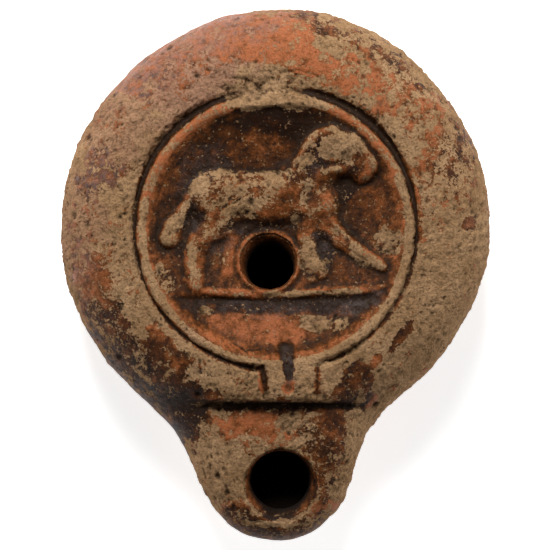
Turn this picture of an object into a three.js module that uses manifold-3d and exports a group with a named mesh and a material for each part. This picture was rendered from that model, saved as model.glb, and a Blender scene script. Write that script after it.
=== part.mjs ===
// Roman oil lamp, pressed from a two-part mould in one piece of clay and fired hard.
// Millimetres, +Z up. The lamp stands on its base disc, the nozzle points to -Y, and the
// origin is the middle of the base disc's underside, on the axis of the round body.
//
// The lamp is one solid: an outer skin, a reservoir inside it, and two holes that open the
// reservoir, one in the sunken disc on top (for filling) and one in the nozzle (for the wick).
import * as THREE from 'three';
import { mergeVertices } from 'three/addons/utils/BufferGeometryUtils.js';
import Module from 'manifold-3d';

const wasm = await Module();
wasm.setup();

// ---------------------------------------------------------------- driving dimensions

const WALL = 3.3;                // clay wall, all round
const SEAM_Z = 14;               // widest level, where the two halves of the mould met

// Plan of the round body: a circle pressed slightly out of true.
const BODY_R = 40.9;
const SWELL = { at: 12, width: 35, by: 1.6 };              // fuller at the back
const FLAT_RIGHT = { at: 140, width: 36.5, by: -1.8 };     // flatter towards the nozzle
const FLAT_LEFT = { at: -140, width: 36.5, by: -0.6 };

// Plan of the nozzle: a blunt oval that melts into the body.
const NOZZLE = { y: -38.5, halfWidth: 15.6, halfLength: 20.1, squareness: 2.2 };
const NECK_LEFT = 11.9;          // size of the hollow curve between body and nozzle
const NECK_RIGHT = 9.7;

// Profile of the top, from the middle outwards.
const DISC_FLOOR_Z = 21.1;       // lowest point of the sunken disc
const DISC_LIP_R = 24.7;
const DISC_LIP_Z = 25.7;
const DISC_SWEEP = 2.4;          // how late the disc turns up to its lip
const EXERGUE = { drop: 0.8, edge: [-11.6, -13], reach: [24, 21.5] };    // sunk strip at the front
const RING = { inside: [21.4, 24.4], outside: [26.5, 25.6], rise: 0.5 }; // long slope in, short slope out
const RING_FOOT = [24, 25.5];    // radii between which the disc climbs to the ring
const LEDGE_FOOT = [22.9, 23.8]; // the same at the worn back, where a ledge is left
const RIM_TOP_Z = 26.1;
const BAND_TOP_Z = 26.4;         // flat bands beside the channel at the front
const SHOULDER_R = 28.4;
const SHOULDER_RUN = 12.6;       // from the widest line in to the flat of the shoulder
const SHOULDER_FULLNESS = 2.05;

// Groove outside the raised ring: deep at the back left and back right, thin elsewhere.
const GROOVE_R = 26.45;
const GROOVE_HALF = 0.45;
const GROOVE_DEPTH = 0.9;
const BROAD_GROOVE = { out: 0.6, half: 0.55, deeper: 0.8 };
const BROAD_RIGHT = { at: 38, width: 28 };
const BROAD_LEFT = { at: -46, width: 30 };
const FAINT_FRONT = { at: 125, width: 26, by: 0.7 };
const TIGHT_FRONT = { at: -155, width: 28, by: -0.5 };

// At the very back ring and groove are rubbed away into a shallow scoop.
const WORN_BACK = { at: -3, width: 15 };
const WORN_BREADTH = 0.7;        // below 1, the worn stretch is broad with short ends
const SCOOP = { r: 27.4, half: 2.2, depth: 0.95 };

// Front of the rim: the ring's two ends turn and run down to a straight step.
const STEP_Y = -32.1;
const STEP_HALF = [12.5, 19];    // the step is sharp up to here, and gone by here
const STEP_SOFTNESS = [0.4, 5];
const STEP_MIDDLE = 0.8;
const STEP_FOOT = { below: 0.9, half: 0.6, depth: 0.6, end: [17, 13] };  // groove along its foot
const BANDS = { left: [-4.9, -3.6], right: [10.6, 9], start: [-23.4, -25], inner: [23.2, 24.8] };
const SIDE_GROOVES = [
  { chain: [[-4.3, -25.8, 0], [-2.5, -25.9, 0], [-2.1, -28, 0], [-1.7, -31.2, 0]], half: 0.5, depth: 1.2 },
  { chain: [[10, -24.3, 0], [8, -25.2, 0], [7.8, -28, 0], [7.9, -31.2, 0]], half: 0.5, depth: 0.6 },
];
const CHANNEL = { chain: [[2, -21.9, 1.8], [2.3, -24.5, 1.35], [2.55, -27.6, 0.85]], depth: 0.85 };
const CHANNEL_EDGE = [0.4, -0.9];
const CHANNEL_START = [-19.8, -22];
const CHANNEL_END = { chain: [[2.5, -29.4, 1.45]], edge: [0.3, -1.3], depth: 0.7 };

// Nozzle top, which slopes down to its tip.
const NOZZLE_TOP_Z = [22.7, 19.6];
const NOZZLE_TOP_SPAN = [-33, -57];
const NOZZLE_EDGE = [9, 5.5];    // rounding of the nozzle's edge, at its root and at its tip
const NOZZLE_EDGE_SPAN = [-30, -46];
const NOZZLE_FULLNESS = 2.1;
const NOZZLE_JOIN = 1.6;         // how softly the nozzle runs into the shoulder
const SHOULDER_JOIN_SPAN = [-26, -22];

// Underside: a bowl on a low base disc.
const BASE_R = 19.5;
const BASE_RISE = 1;
const BASE_EDGE = [-0.1, 0.9];   // where the base disc's side rises, measured from its edge
const BOWL_FULLNESS = 1.6;
const BASE_CIRCLE = { r: 15.6, half: 0.9, depth: 0.7 };    // incised ring in the base

// Reservoir: its ceiling follows the top at the wall's distance.
const CEILING_TOP_Z = 25.9;
const CEILING_JOIN_SPAN = [-31, -25];
const CEILING_EDGE = [4.5, 9];
const CEILING_EDGE_SPAN = [-44, -28];

// Holes: each tapers inwards and leans, because it was cut square to its own surface.
const FILL_HOLE = { rim: [-1.3, -5.75, 21.3], inner: [-1, -7, 17.9], rimR: 5.2, innerR: 4.35 };
const WICK_HOLE = { rim: [1.05, -48.1, 20.4], inner: [0.86, -47.1, 16.8], rimR: 6.7, innerR: 5.45 };
const HOLE_SIDES = 36;
const COLLAR = { gap: 0.35, half: 0.4, rise: 0.45, sides: [0.5, -2.5] };  // clay pushed up by the cut
const COLLAR_MOAT = { gap: 1.3, half: 0.5, depth: 0.25 };
const RELIEF_CLEARANCE = 1.4;    // the relief dies away this far inside the hole's edge

// The walking lion on the disc: chains of [x, y, radius], with a height and an edge width.
const LION = [
  { chain: [[-11, 6.6, 5.1], [-4, 6.3, 5.1], [6.6, 6.2, 5]], height: 1.9, edge: 4.2 },        // trunk
  { chain: [[-12.2, 6.6, 4.6]], height: 2, edge: 3.8 },                                       // rump
  { chain: [[8, 5.4, 4.4]], height: 2.2, edge: 3.6 },                                         // shoulder
  { chain: [[5.2, 8.6, 4.2], [9.6, 14.4, 5.2]], height: 2, edge: 2.8 },                       // mane
  { chain: [[11.3, 15.4, 4.5], [12.9, 15.4, 3.7]], height: 2.5, edge: 3.2 },                  // head
  { chain: [[13.4, 13.8, 3.8], [15.8, 12.1, 3.5]], height: 1.7, edge: 2.4 },                  // muzzle
  { chain: [[-10.6, 3.2, 3.8], [-12.2, 0.4, 3], [-13.6, -1.6, 2.2]], height: 1.8, edge: 2.6 },  // thigh
  { chain: [[-14.4, -0.9, 1.9], [-15.1, -4.2, 2.2], [-15.3, -7.5, 2.1], [-15, -10, 1.7]],
    height: 1.3, edge: 2.3 },                                                                 // shank
  { chain: [[-15.6, 6.6, 1.2], [-17.8, 3.2, 1.6], [-19.4, 0.6, 2.1], [-20, -1.2, 2.2]],
    height: 1.4, edge: 1.9 },                                                                 // tail
  { chain: [[9.8, 1.2, 2.5], [12.6, -1.6, 2.1], [15.3, -3.7, 1.8], [18, -5.5, 1.5], [20, -6.6, 1.3]],
    height: 1.3, edge: 1.7 },                                                                 // foreleg
  { chain: [[6.1, 0.8, 2.6], [5.9, -3.5, 2], [6.9, -5.9, 1.8], [8.7, -7.8, 1.5]],
    height: 1, edge: 1.9 },                                                                   // far foreleg
  { chain: [[-8, 0, 1.2], [-8.6, -3.4, 1.5], [-9.2, -7.5, 1.4]], height: 0.4, edge: 1.8 },    // far hind leg
];
const LION_JOIN = 1.6;           // how far neighbouring limbs melt together
const LION_SOFTNESS = 0.85;      // below 1, the relief rises steeply at its foot
const LION_FADE = [22.8, 24.6];  // the relief ends short of the lip
const LIMB_REACH = 0.7;          // how fast a limb's say fades beyond its own edge
const GROUND_LINE = {
  chain: [[-17, -9.2, 0.7], [-15.2, -10.8, 0.8], [-11, -11.5, 0.9], [-3.7, -12, 1], [2.2, -12.2, 1],
    [8, -11.4, 1], [14, -11.1, 1], [18, -11, 0.9], [20.2, -10.2, 0.7]],
  height: 0.55,
  edge: 1.2,
  softness: 0.6,
  join: 0.3,
};
// Inner modelling of the lion: swellings and hollows as [x, y, reach in x, reach in y, height].
const LION_ACCENTS = [
  [15.2, 14, 1.2, 1.8, -0.2],        // cheek
  [10.8, 12.5, 2.4, 0.5, -0.45],     // under the head
  [11, 11.6, 1.4, 0.7, 0.35],        // throat
  [13.9, 9.2, 1.2, 1.4, -0.8],       // under the jaw
  [-9.8, -2.6, 2.6, 1.2, -0.3],      // under the thigh
  [-5.5, 3.4, 3.5, 2.2, -0.45],      // flank
  [3, 4, 2, 3.5, -0.35],             // behind the shoulder
  [17, -8.6, 1.8, 0.4, -0.8],        // hollow under the fore paw
  [7, -9.2, 0.9, 0.5, 0.5],          // far fore paw
  [9.4, -3.4, 1.2, 2.6, -0.5],       // between the forelegs
  [-8.6, 9, 3.4, 1.2, 0.2],          // back
  [0.4, 7.4, 1.8, 1.8, 0.25],        // ribs
  [-11.4, 3.4, 1.4, 1.6, 0.3],       // haunch
];
const RIDGES = [
  { chain: [[1.4, 11.8, 0], [4.2, 13.6, 0], [5.9, 16.4, 0], [7.9, 18.5, 0], [10.6, 19.5, 0]],
    half: 0.7, rise: 0.55 },                                                                  // mane
  { chain: [[15, 18.4, 0], [16.5, 16.6, 0], [17.2, 14.9, 0], [18.5, 12.9, 0], [18.9, 11.4, 0]],
    half: 0.6, rise: 0.4 },                                                                   // brow and nose
  { chain: [[11.2, 1.4, 0], [14, -1.5, 0], [16.7, -3.7, 0], [19.7, -5.4, 0]], half: 0.5, rise: 0.4 },
  { chain: [[-11.3, -1.8, 0], [-8.6, -0.2, 0]], half: 0.4, rise: 0.3 },                       // thigh
  { chain: [[7.3, -2.6, 0], [8, -5.6, 0], [9.4, -7.3, 0]], half: 0.4, rise: 0.35 },           // far foreleg
];

// Net that carries the skin: rings of points on the top, then it is halved where it strays.
const RIM_SHARE = 0.68;          // share of the net given to the disc and its rim
const FINE = { tolerance: 0.2, shortest: 1.15, rounds: 5, turns: 6 };
const COARSE = { tolerance: 0.4, shortest: 3, rounds: 2, turns: 2 };
const LEAST_AREA = 0.15;         // a diagonal is turned only if both new triangles keep this share
const BETTER_BY = 0.85;          // and only if the error falls below this share of the old one

// ---------------------------------------------------------------- small helpers

const clamp01 = (t) => Math.min(Math.max(t, 0), 1);
const mix = (a, b, t) => a + (b - a) * t;

function ease(from, to, value) {
  const t = clamp01((value - from) / (to - from));
  return t * t * (3 - 2 * t);
}

// A rounded edge: 0 at the edge, rising steeply to 1.
function roundOver(share, fullness) {
  const t = clamp01(share);
  return (1 - (1 - t) ** fullness) ** (1 / fullness);
}

function softMin(a, b, blend) {
  const t = clamp01(0.5 + (0.5 * (b - a)) / blend);
  return mix(b, a, t) - blend * t * (1 - t);
}

const softMax = (a, b, blend) => -softMin(-a, -b, blend);
const hump = (distance, half) => Math.exp(-((distance / half) ** 2));

// Bearing in degrees, clockwise from +Y seen from above.
const bearing = (x, y) => THREE.MathUtils.radToDeg(Math.atan2(x, y));

function near(angle, { at, width }) {
  const turn = THREE.MathUtils.euclideanModulo(angle - at + 180, 360) - 180;
  return hump(turn, width);
}

// Distance to a chain of tapering round bars, negative inside it.
function chainDistance(x, y, chain) {
  let best = Infinity;
  chain.forEach(([ax, ay, ar], i) => {
    const [bx, by, br] = chain[Math.min(i + 1, chain.length - 1)];
    const length2 = (bx - ax) ** 2 + (by - ay) ** 2;
    const t = length2 > 0 ? clamp01(((x - ax) * (bx - ax) + (y - ay) * (by - ay)) / length2) : 0;
    const away = Math.hypot(x - mix(ax, bx, t), y - mix(ay, by, t)) - mix(ar, br, t);
    best = Math.min(best, away);
  });
  return best;
}

// ---------------------------------------------------------------- plan of the lamp

function bodyDistance(x, y) {
  const angle = bearing(x, y);
  const outOfTrue = [SWELL, FLAT_RIGHT, FLAT_LEFT].reduce((sum, f) => sum + f.by * near(angle, f), 0);
  return Math.hypot(x, y) - (BODY_R + outOfTrue);
}

function nozzleDistance(x, y) {
  const { halfWidth: a, halfLength: b, squareness: p } = NOZZLE;
  const u = Math.abs(x) / a + 1e-9;
  const v = Math.abs(y - NOZZLE.y) / b + 1e-9;
  const reach = (u ** p + v ** p) ** (1 / p);
  const slope = Math.hypot(u / a, v / b) / Math.hypot(u, v);
  return (reach - 1) / slope;
}

// Distance to the lamp's outline, negative inside it.
function planDistance(x, y) {
  const rightness = 1 / (1 + Math.exp(-x / 3));
  return softMin(bodyDistance(x, y), nozzleDistance(x, y), mix(NECK_LEFT, NECK_RIGHT, rightness));
}

// How far the outline, moved in by `inset`, lies from the axis in one direction.
function planRadius(angle, inset = 0) {
  let inside = 20;
  let outside = 80;
  for (let i = 0; i < 40; i += 1) {
    const r = (inside + outside) / 2;
    if (planDistance(r * Math.sin(angle), r * Math.cos(angle)) < -inset) inside = r;
    else outside = r;
  }
  return (inside + outside) / 2;
}

// ---------------------------------------------------------------- relief on the disc

function lionHeight(x, y) {
  let distance = Infinity;
  let weightSum = 0;
  let height = 0;
  let edge = 0;
  for (const limb of LION) {
    const d = chainDistance(x, y, limb.chain);
    distance = distance === Infinity ? d : softMin(distance, d, LION_JOIN);
    const weight = Math.exp(-THREE.MathUtils.clamp(d + 1, -3, 6) / LIMB_REACH);
    weightSum += weight;
    height += weight * limb.height;
    edge += weight * limb.edge;
  }
  const share = clamp01((-distance * weightSum) / edge);
  return (height / weightSum) * (1 - (1 - share) ** 2) ** LION_SOFTNESS;
}

function reliefHeight(x, y) {
  let z = lionHeight(x, y);
  for (const { chain, half, rise } of RIDGES) z += rise * hump(chainDistance(x, y, chain), half);
  for (const [cx, cy, rx, ry, rise] of LION_ACCENTS) z += rise * hump(x - cx, rx) * hump(y - cy, ry);
  const share = clamp01(-chainDistance(x, y, GROUND_LINE.chain) / GROUND_LINE.edge);
  const ground = GROUND_LINE.height * (1 - (1 - share) ** 2) ** GROUND_LINE.softness;
  return softMax(z, ground, GROUND_LINE.join);
}

// ---------------------------------------------------------------- top surface

function discBase(r) {
  return mix(DISC_FLOOR_Z, DISC_LIP_Z, clamp01(r / DISC_LIP_R) ** DISC_SWEEP);
}

function discHeight(x, y, r) {
  const exergue = ease(...EXERGUE.edge, y) * ease(...EXERGUE.reach, r);
  const relief = reliefHeight(x, y) * (1 - ease(...LION_FADE, r));
  const fromHole = Math.hypot(x - FILL_HOLE.rim[0], y - FILL_HOLE.rim[1]) - FILL_HOLE.rimR;
  const clear = ease(-RELIEF_CLEARANCE, 0, fromHole);
  const collar = COLLAR.rise * hump(fromHole - COLLAR.gap, COLLAR.half) * ease(...COLLAR.sides, y);
  const moat = COLLAR_MOAT.depth * hump(fromHole - COLLAR_MOAT.gap, COLLAR_MOAT.half);
  return discBase(r) - EXERGUE.drop * exergue + relief * clear + collar - moat;
}

function ringGrooveDepth(angle, r, worn) {
  const broad = Math.min(near(angle, BROAD_RIGHT) + near(angle, BROAD_LEFT), 1);
  const centre = GROOVE_R + BROAD_GROOVE.out * broad + TIGHT_FRONT.by * near(angle, TIGHT_FRONT);
  const half = GROOVE_HALF + BROAD_GROOVE.half * broad;
  const depth = GROOVE_DEPTH + BROAD_GROOVE.deeper * broad;
  return depth * hump(r - centre, half) * (1 - worn) * (1 - FAINT_FRONT.by * near(angle, FAINT_FRONT));
}

// Disc, raised ring, groove and front bands, before the shoulder is rounded off.
function rimHeight(x, y) {
  const r = Math.hypot(x, y);
  const angle = bearing(x, y);
  const worn = near(angle, WORN_BACK) ** WORN_BREADTH;
  const banded = ease(...BANDS.start, y) * ease(...BANDS.left, x) * ease(...BANDS.right, x);
  const [footStart, footEnd] = RING_FOOT.map((foot, i) => mix(foot, LEDGE_FOOT[i], worn));
  const ring = RING.rise * ease(...RING.inside, r) * ease(...RING.outside, r);
  let z = mix(discHeight(x, y, r), RIM_TOP_Z, ease(footStart, footEnd, r));
  z += (ring * (1 - worn) - ringGrooveDepth(angle, r, worn)) * (1 - banded);
  z -= SCOOP.depth * worn * hump(r - SCOOP.r, SCOOP.half);
  z = mix(z, BAND_TOP_Z, banded * ease(...BANDS.inner, r));
  for (const { chain, half, depth } of SIDE_GROOVES) z -= depth * hump(chainDistance(x, y, chain), half);
  z -= CHANNEL.depth * ease(...CHANNEL_EDGE, chainDistance(x, y, CHANNEL.chain)) * ease(...CHANNEL_START, y);
  z -= CHANNEL_END.depth * ease(...CHANNEL_END.edge, chainDistance(x, y, CHANNEL_END.chain));
  return z;
}

const nozzleTopHeight = (y) => mix(...NOZZLE_TOP_Z, ease(...NOZZLE_TOP_SPAN, y));

function topHeight(x, y) {
  const inBody = Math.max(-bodyDistance(x, y), 0);
  const inPlan = Math.max(-planDistance(x, y), 0);
  const body = SEAM_Z + (rimHeight(x, y) - SEAM_Z) * roundOver(inBody / SHOULDER_RUN, SHOULDER_FULLNESS);
  const nozzleEdge = mix(...NOZZLE_EDGE, ease(...NOZZLE_EDGE_SPAN, y));
  const nozzle = SEAM_Z + (nozzleTopHeight(y) - SEAM_Z) * roundOver(inPlan / nozzleEdge, NOZZLE_FULLNESS);
  const joined = inBody > 0 ? softMax(body, nozzle, NOZZLE_JOIN) : nozzle;
  const shoulder = mix(joined, body, ease(...SHOULDER_JOIN_SPAN, y));
  const offMiddle = Math.abs(x - STEP_MIDDLE);
  const softness = mix(...STEP_SOFTNESS, ease(...STEP_HALF, offMiddle));
  const alongFoot = hump(y - (STEP_Y - STEP_FOOT.below), STEP_FOOT.half) * ease(...STEP_FOOT.end, offMiddle);
  const belowStep = nozzle - STEP_FOOT.depth * alongFoot;
  return mix(belowStep, shoulder, ease(STEP_Y - softness, STEP_Y + softness, y));
}

// ---------------------------------------------------------------- underside and reservoir

function bowlHeight(r, edgeR, footR, lowest) {
  const out = clamp01((r - footR) / (edgeR - footR));
  return mix(lowest, SEAM_Z, 1 - roundOver(1 - out, BOWL_FULLNESS));
}

function undersideHeight(r, edgeR) {
  const [edgeStart, edgeEnd] = BASE_EDGE.map((past) => BASE_R + past);
  const bowl = bowlHeight(r, edgeR, BASE_R, BASE_RISE) * ease(edgeStart, edgeEnd, r);
  return bowl + BASE_CIRCLE.depth * ease(0, 1, 1 - Math.abs(r - BASE_CIRCLE.r) / BASE_CIRCLE.half);
}

function ceilingHeight(x, y) {
  const inPlan = Math.max(-planDistance(x, y) - WALL, 0);
  const overBody = Math.min(discBase(Math.hypot(x, y)), CEILING_TOP_Z);
  const plateau = mix(nozzleTopHeight(y), overBody, ease(...CEILING_JOIN_SPAN, y)) - WALL;
  const edge = mix(...CEILING_EDGE, ease(...CEILING_EDGE_SPAN, y));
  return SEAM_Z + (plateau - SEAM_Z) * roundOver(inPlan / edge, 2);
}

const floorHeight = (r, edgeR) => bowlHeight(r, edgeR, BASE_R - WALL, WALL);

// ---------------------------------------------------------------- net that follows a surface

// Each skin has an upper and a lower sheet that meet along the outline. A net point is
// [u, v, sheet] in a unit disc: its middle is the axis and its edge is the outline.
function skinPoint(skin, [u, v, sheet]) {
  const share = Math.hypot(u, v);
  const angle = Math.atan2(u, v);
  const edgeR = planRadius(angle, skin.inset);
  const rimR = SHOULDER_R - skin.inset;
  const r = share < RIM_SHARE
    ? (rimR * share) / RIM_SHARE
    : mix(rimR, edgeR, (share - RIM_SHARE) / (1 - RIM_SHARE));
  const x = r * Math.sin(angle);
  const y = r * Math.cos(angle);
  if (share > 0.99999) return new THREE.Vector3(x, y, SEAM_Z);
  return new THREE.Vector3(x, y, sheet === 'upper' ? skin.upper(x, y) : skin.lower(r, edgeR));
}

function ringOfPoints(net, share, count, sheet) {
  return Array.from({ length: count }, (_, i) => {
    const angle = (2 * Math.PI * i) / count;
    return net.push([share * Math.sin(angle), share * Math.cos(angle), sheet]) - 1;
  });
}

// Triangles between two rings that may have different numbers of points.
function zip(inner, outer) {
  const triangles = [];
  let i = 0;
  let j = 0;
  while (i < inner.length || j < outer.length) {
    const a = inner[i % inner.length];
    const b = outer[j % outer.length];
    const innerFirst = (i + 1) / inner.length < (j + 1) / outer.length - 1e-9;
    if (j >= outer.length || (innerFirst && i < inner.length)) {
      triangles.push([a, b, inner[(i + 1) % inner.length]]);
      i += 1;
    } else {
      triangles.push([a, b, outer[(j + 1) % outer.length]]);
      j += 1;
    }
  }
  return triangles;
}

function startNet({ upperRings, lowerRings, edgeCount }) {
  const net = [];
  const triangles = [];
  const edgeRing = ringOfPoints(net, 1, edgeCount, 'edge');
  for (const [sheet, rings] of [['upper', upperRings], ['lower', lowerRings]]) {
    const hub = net.push([0, 0, sheet]) - 1;
    const loops = rings.map(([share, count]) => ringOfPoints(net, share, count, sheet));
    loops.push(edgeRing);
    const faces = loops[0].map((p, i) => [hub, p, loops[0][(i + 1) % loops[0].length]]);
    for (let k = 1; k < loops.length; k += 1) faces.push(...zip(loops[k - 1], loops[k]));
    // Going round by bearing is clockwise from above, so the upper sheet is turned over.
    triangles.push(...faces.map(([a, b, c]) => (sheet === 'upper' ? [a, c, b] : [a, b, c])));
  }
  return { net, triangles };
}

// Builds the skin from its net: sides are halved where the straight chord strays from the
// surface, then diagonals are turned to run along the carving's edges.
class SkinNet {
  constructor(skin, { net, triangles }) {
    this.skin = skin;
    this.net = net;
    this.triangles = triangles;
    this.points = net.map((p) => skinPoint(skin, p));
  }

  static key(a, b) {
    return a < b ? `${a},${b}` : `${b},${a}`;
  }

  between(a, b, t) {
    const { net } = this;
    const u = mix(net[a][0], net[b][0], t);
    const v = mix(net[a][1], net[b][1], t);
    const onEdge = net[a][2] === 'edge' && net[b][2] === 'edge';
    const grow = onEdge ? 1 / Math.hypot(u, v) : 1;
    return [u * grow, v * grow, net[a][2] === 'edge' ? net[b][2] : net[a][2]];
  }

  // How far the straight line between two net points lies off the surface.
  error(a, b) {
    return Math.max(...[0.25, 0.5, 0.75].map((t) => {
      const chord = this.points[a].clone().lerp(this.points[b], t);
      return skinPoint(this.skin, this.between(a, b, t)).distanceTo(chord);
    }));
  }

  longestSide(corners) {
    const lengths = corners.map((a, i) => this.points[a].distanceTo(this.points[corners[(i + 1) % 3]]));
    return lengths.indexOf(Math.max(...lengths));
  }

  // Sides to halve. A triangle that is cut at all is cut across its longest side too, which
  // keeps the triangles shapely.
  markSides(longest, { tolerance, shortest }) {
    const marked = new Set();
    const checked = new Set();
    for (const corners of this.triangles) {
      corners.forEach((a, i) => {
        const b = corners[(i + 1) % 3];
        const side = SkinNet.key(a, b);
        if (checked.has(side)) return;
        checked.add(side);
        const long = this.points[a].distanceTo(this.points[b]) > 2 * shortest;
        if (long && this.error(a, b) > tolerance) marked.add(side);
      });
    }
    for (let grown = true; grown;) {
      grown = false;
      this.triangles.forEach((corners, n) => {
        const sides = corners.map((a, i) => SkinNet.key(a, corners[(i + 1) % 3]));
        if (!marked.has(sides[longest[n]]) && sides.some((side) => marked.has(side))) {
          marked.add(sides[longest[n]]);
          grown = true;
        }
      });
    }
    return marked;
  }

  halve(detail) {
    const longest = this.triangles.map((corners) => this.longestSide(corners));
    const marked = this.markSides(longest, detail);
    const middles = new Map();
    for (const side of marked) {
      const [a, b] = side.split(',').map(Number);
      middles.set(side, this.net.push(this.between(a, b, 0.5)) - 1);
      this.points.push(skinPoint(this.skin, this.net.at(-1)));
    }
    this.triangles = this.triangles.flatMap((corners, n) => {
      const [a, b, c] = [0, 1, 2].map((i) => corners[(longest[n] + i) % 3]);
      const [ab, bc, ca] = [[a, b], [b, c], [c, a]].map(([p, q]) => middles.get(SkinNet.key(p, q)));
      if (ab === undefined) return [[a, b, c]];
      const right = bc === undefined ? [[ab, b, c]] : [[ab, b, bc], [ab, bc, c]];
      const left = ca === undefined ? [[a, ab, c]] : [[a, ab, ca], [ca, ab, c]];
      return [...right, ...left];
    });
    return marked.size > 0;
  }

  // Twice the area of a net triangle, signed.
  netArea(a, b, c) {
    const [p, q, r] = [a, b, c].map((i) => this.net[i]);
    return (q[0] - p[0]) * (r[1] - p[1]) - (q[1] - p[1]) * (r[0] - p[0]);
  }

  turnDiagonals() {
    const owners = new Map();
    this.triangles.forEach((corners, n) => {
      corners.forEach((a, i) => {
        const side = SkinNet.key(a, corners[(i + 1) % 3]);
        owners.set(side, [...(owners.get(side) ?? []), n]);
      });
    });
    const touched = new Set();
    for (const [side, pair] of owners) {
      const [m, n] = pair;
      const [a, b] = side.split(',').map(Number);
      const border = this.net[a][2] === 'edge' && this.net[b][2] === 'edge';
      if (border || touched.has(m) || touched.has(n)) continue;
      const first = this.triangles[m];
      const c = first.find((p) => p !== a && p !== b);
      const d = this.triangles[n].find((p) => p !== a && p !== b);
      const forward = first[(first.indexOf(a) + 1) % 3] === b;
      const [from, to] = forward ? [a, b] : [b, a];
      const whole = this.netArea(from, to, c);
      const roomy = (area) => area / whole > LEAST_AREA;
      const bothRoomy = roomy(this.netArea(c, d, to)) && roomy(this.netArea(d, c, from));
      if (owners.has(SkinNet.key(c, d)) || !bothRoomy) continue;
      if (this.error(c, d) < BETTER_BY * this.error(a, b)) {
        this.triangles[m] = [c, d, to];
        this.triangles[n] = [d, c, from];
        touched.add(m).add(n);
      }
    }
    return touched.size > 0;
  }

  fit(detail) {
    for (let round = 0; round < detail.rounds && this.halve(detail); round += 1);
    for (let round = 0; round < detail.turns && this.turnDiagonals(); round += 1);
  }

  geometry() {
    const geometry = new THREE.BufferGeometry();
    const coordinates = this.points.flatMap((p) => p.toArray());
    geometry.setAttribute('position', new THREE.Float32BufferAttribute(coordinates, 3));
    geometry.setIndex(this.triangles.flat());
    return geometry;
  }
}

function skinGeometry(skin, netPlan, detail) {
  const skinNet = new SkinNet(skin, startNet(netPlan));
  skinNet.fit(detail);
  return skinNet.geometry();
}

// ---------------------------------------------------------------- solids

function toSolid(geometry) {
  const bare = geometry.clone();
  bare.deleteAttribute('normal');
  bare.deleteAttribute('uv');
  const merged = mergeVertices(bare, 1e-4);
  return new wasm.Manifold(new wasm.Mesh({
    numProp: 3,
    vertProperties: new Float32Array(merged.attributes.position.array),
    triVerts: new Uint32Array(merged.index.array),
  }));
}

function toGeometry(solid) {
  const { vertProperties, triVerts } = solid.getMesh();
  const geometry = new THREE.BufferGeometry();
  geometry.setAttribute('position', new THREE.BufferAttribute(vertProperties, 3));
  geometry.setIndex(new THREE.BufferAttribute(triVerts, 1));
  geometry.computeVertexNormals();
  return geometry;
}

// A tapering plug along the hole's leaning axis, carried on past both faces of the wall.
function holeCutter({ rim, inner, rimR, innerR }, pastRim, pastInner) {
  const from = new THREE.Vector3(...inner);
  const to = new THREE.Vector3(...rim);
  const depth = to.z - from.z;
  const growth = (rimR - innerR) / depth;
  const low = -pastInner;
  const high = depth + pastRim;
  const profile = [
    new THREE.Vector2(0, low),
    new THREE.Vector2(innerR + growth * low * 0.2, low),
    new THREE.Vector2(innerR, 0),
    new THREE.Vector2(innerR + growth * high, high),
    new THREE.Vector2(0, high),
  ];
  const plug = new THREE.LatheGeometry(profile, HOLE_SIDES);
  plug.rotateX(Math.PI / 2);
  const leanX = (to.x - from.x) / depth;
  const leanY = (to.y - from.y) / depth;
  plug.applyMatrix4(new THREE.Matrix4().makeShear(0, 0, 0, 0, leanX, leanY));
  plug.translate(from.x, from.y, from.z);
  return toSolid(plug);
}

const ringShare = (r) => (RIM_SHARE * r) / SHOULDER_R;

const outerSkin = skinGeometry(
  { inset: 0, upper: topHeight, lower: undersideHeight },
  {
    upperRings: [
      [ringShare(4), 12], [ringShare(8), 24], [ringShare(12), 36], [ringShare(16), 48], [ringShare(20), 72],
      [ringShare(23.4), 96], [ringShare(24.7), 96], [ringShare(25.6), 96], [ringShare(26.4), 96],
      [ringShare(27.1), 96], [RIM_SHARE, 96], [0.76, 72], [0.86, 72], [0.94, 72], [0.985, 72],
    ],
    lowerRings: [
      [ringShare(14.7), 36], [ringShare(15.6), 36], [ringShare(16.5), 36], [ringShare(19.4), 48],
      [ringShare(20.4), 48], [0.72, 72], [0.86, 72], [0.95, 72], [0.988, 72],
    ],
    edgeCount: 72,
  },
  FINE,
);

const reservoirSkin = skinGeometry(
  { inset: WALL, upper: ceilingHeight, lower: floorHeight },
  {
    upperRings: [[0.3, 12], [0.6, 24], [0.8, 36], [0.95, 36]],
    lowerRings: [[0.4, 12], [0.65, 24], [0.86, 36], [0.96, 36]],
    edgeCount: 36,
  },
  COARSE,
);

const lampSolid = toSolid(outerSkin)
  .subtract(toSolid(reservoirSkin))
  .subtract(holeCutter(FILL_HOLE, 5, 3))
  .subtract(holeCutter(WICK_HOLE, 4, 3));

// ---------------------------------------------------------------- scene

const firedClay = new THREE.MeshStandardMaterial({ color: 0xb98d66, roughness: 0.85, metalness: 0 });

const lamp = new THREE.Mesh(toGeometry(lampSolid), firedClay);
lamp.name = 'oil_lamp';

const object = new THREE.Group();
object.add(lamp);

export default object;
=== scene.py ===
# %% [markdown]
# # A Roman oil lamp of fired clay
#
# This lesson dresses one object: a palm-sized lamp, pressed in a two-part mould about two
# thousand years ago. It is hollow, with a sunken disc that carries a walking lion, a hole to
# pour the oil in and a short nozzle with a hole for the wick. Its thin red-brown coat of slip
# (a wash of fine clay) has worn away in many places down to the pale clay.
#
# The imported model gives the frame: its place, its size and its hollow body. Everything below is
# measured in millimetres, because a potter would, and turned into metres at the very end.

import itertools
import math

import bmesh
import bpy
import numpy as np
from mathutils import Matrix, Vector, kdtree


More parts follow.
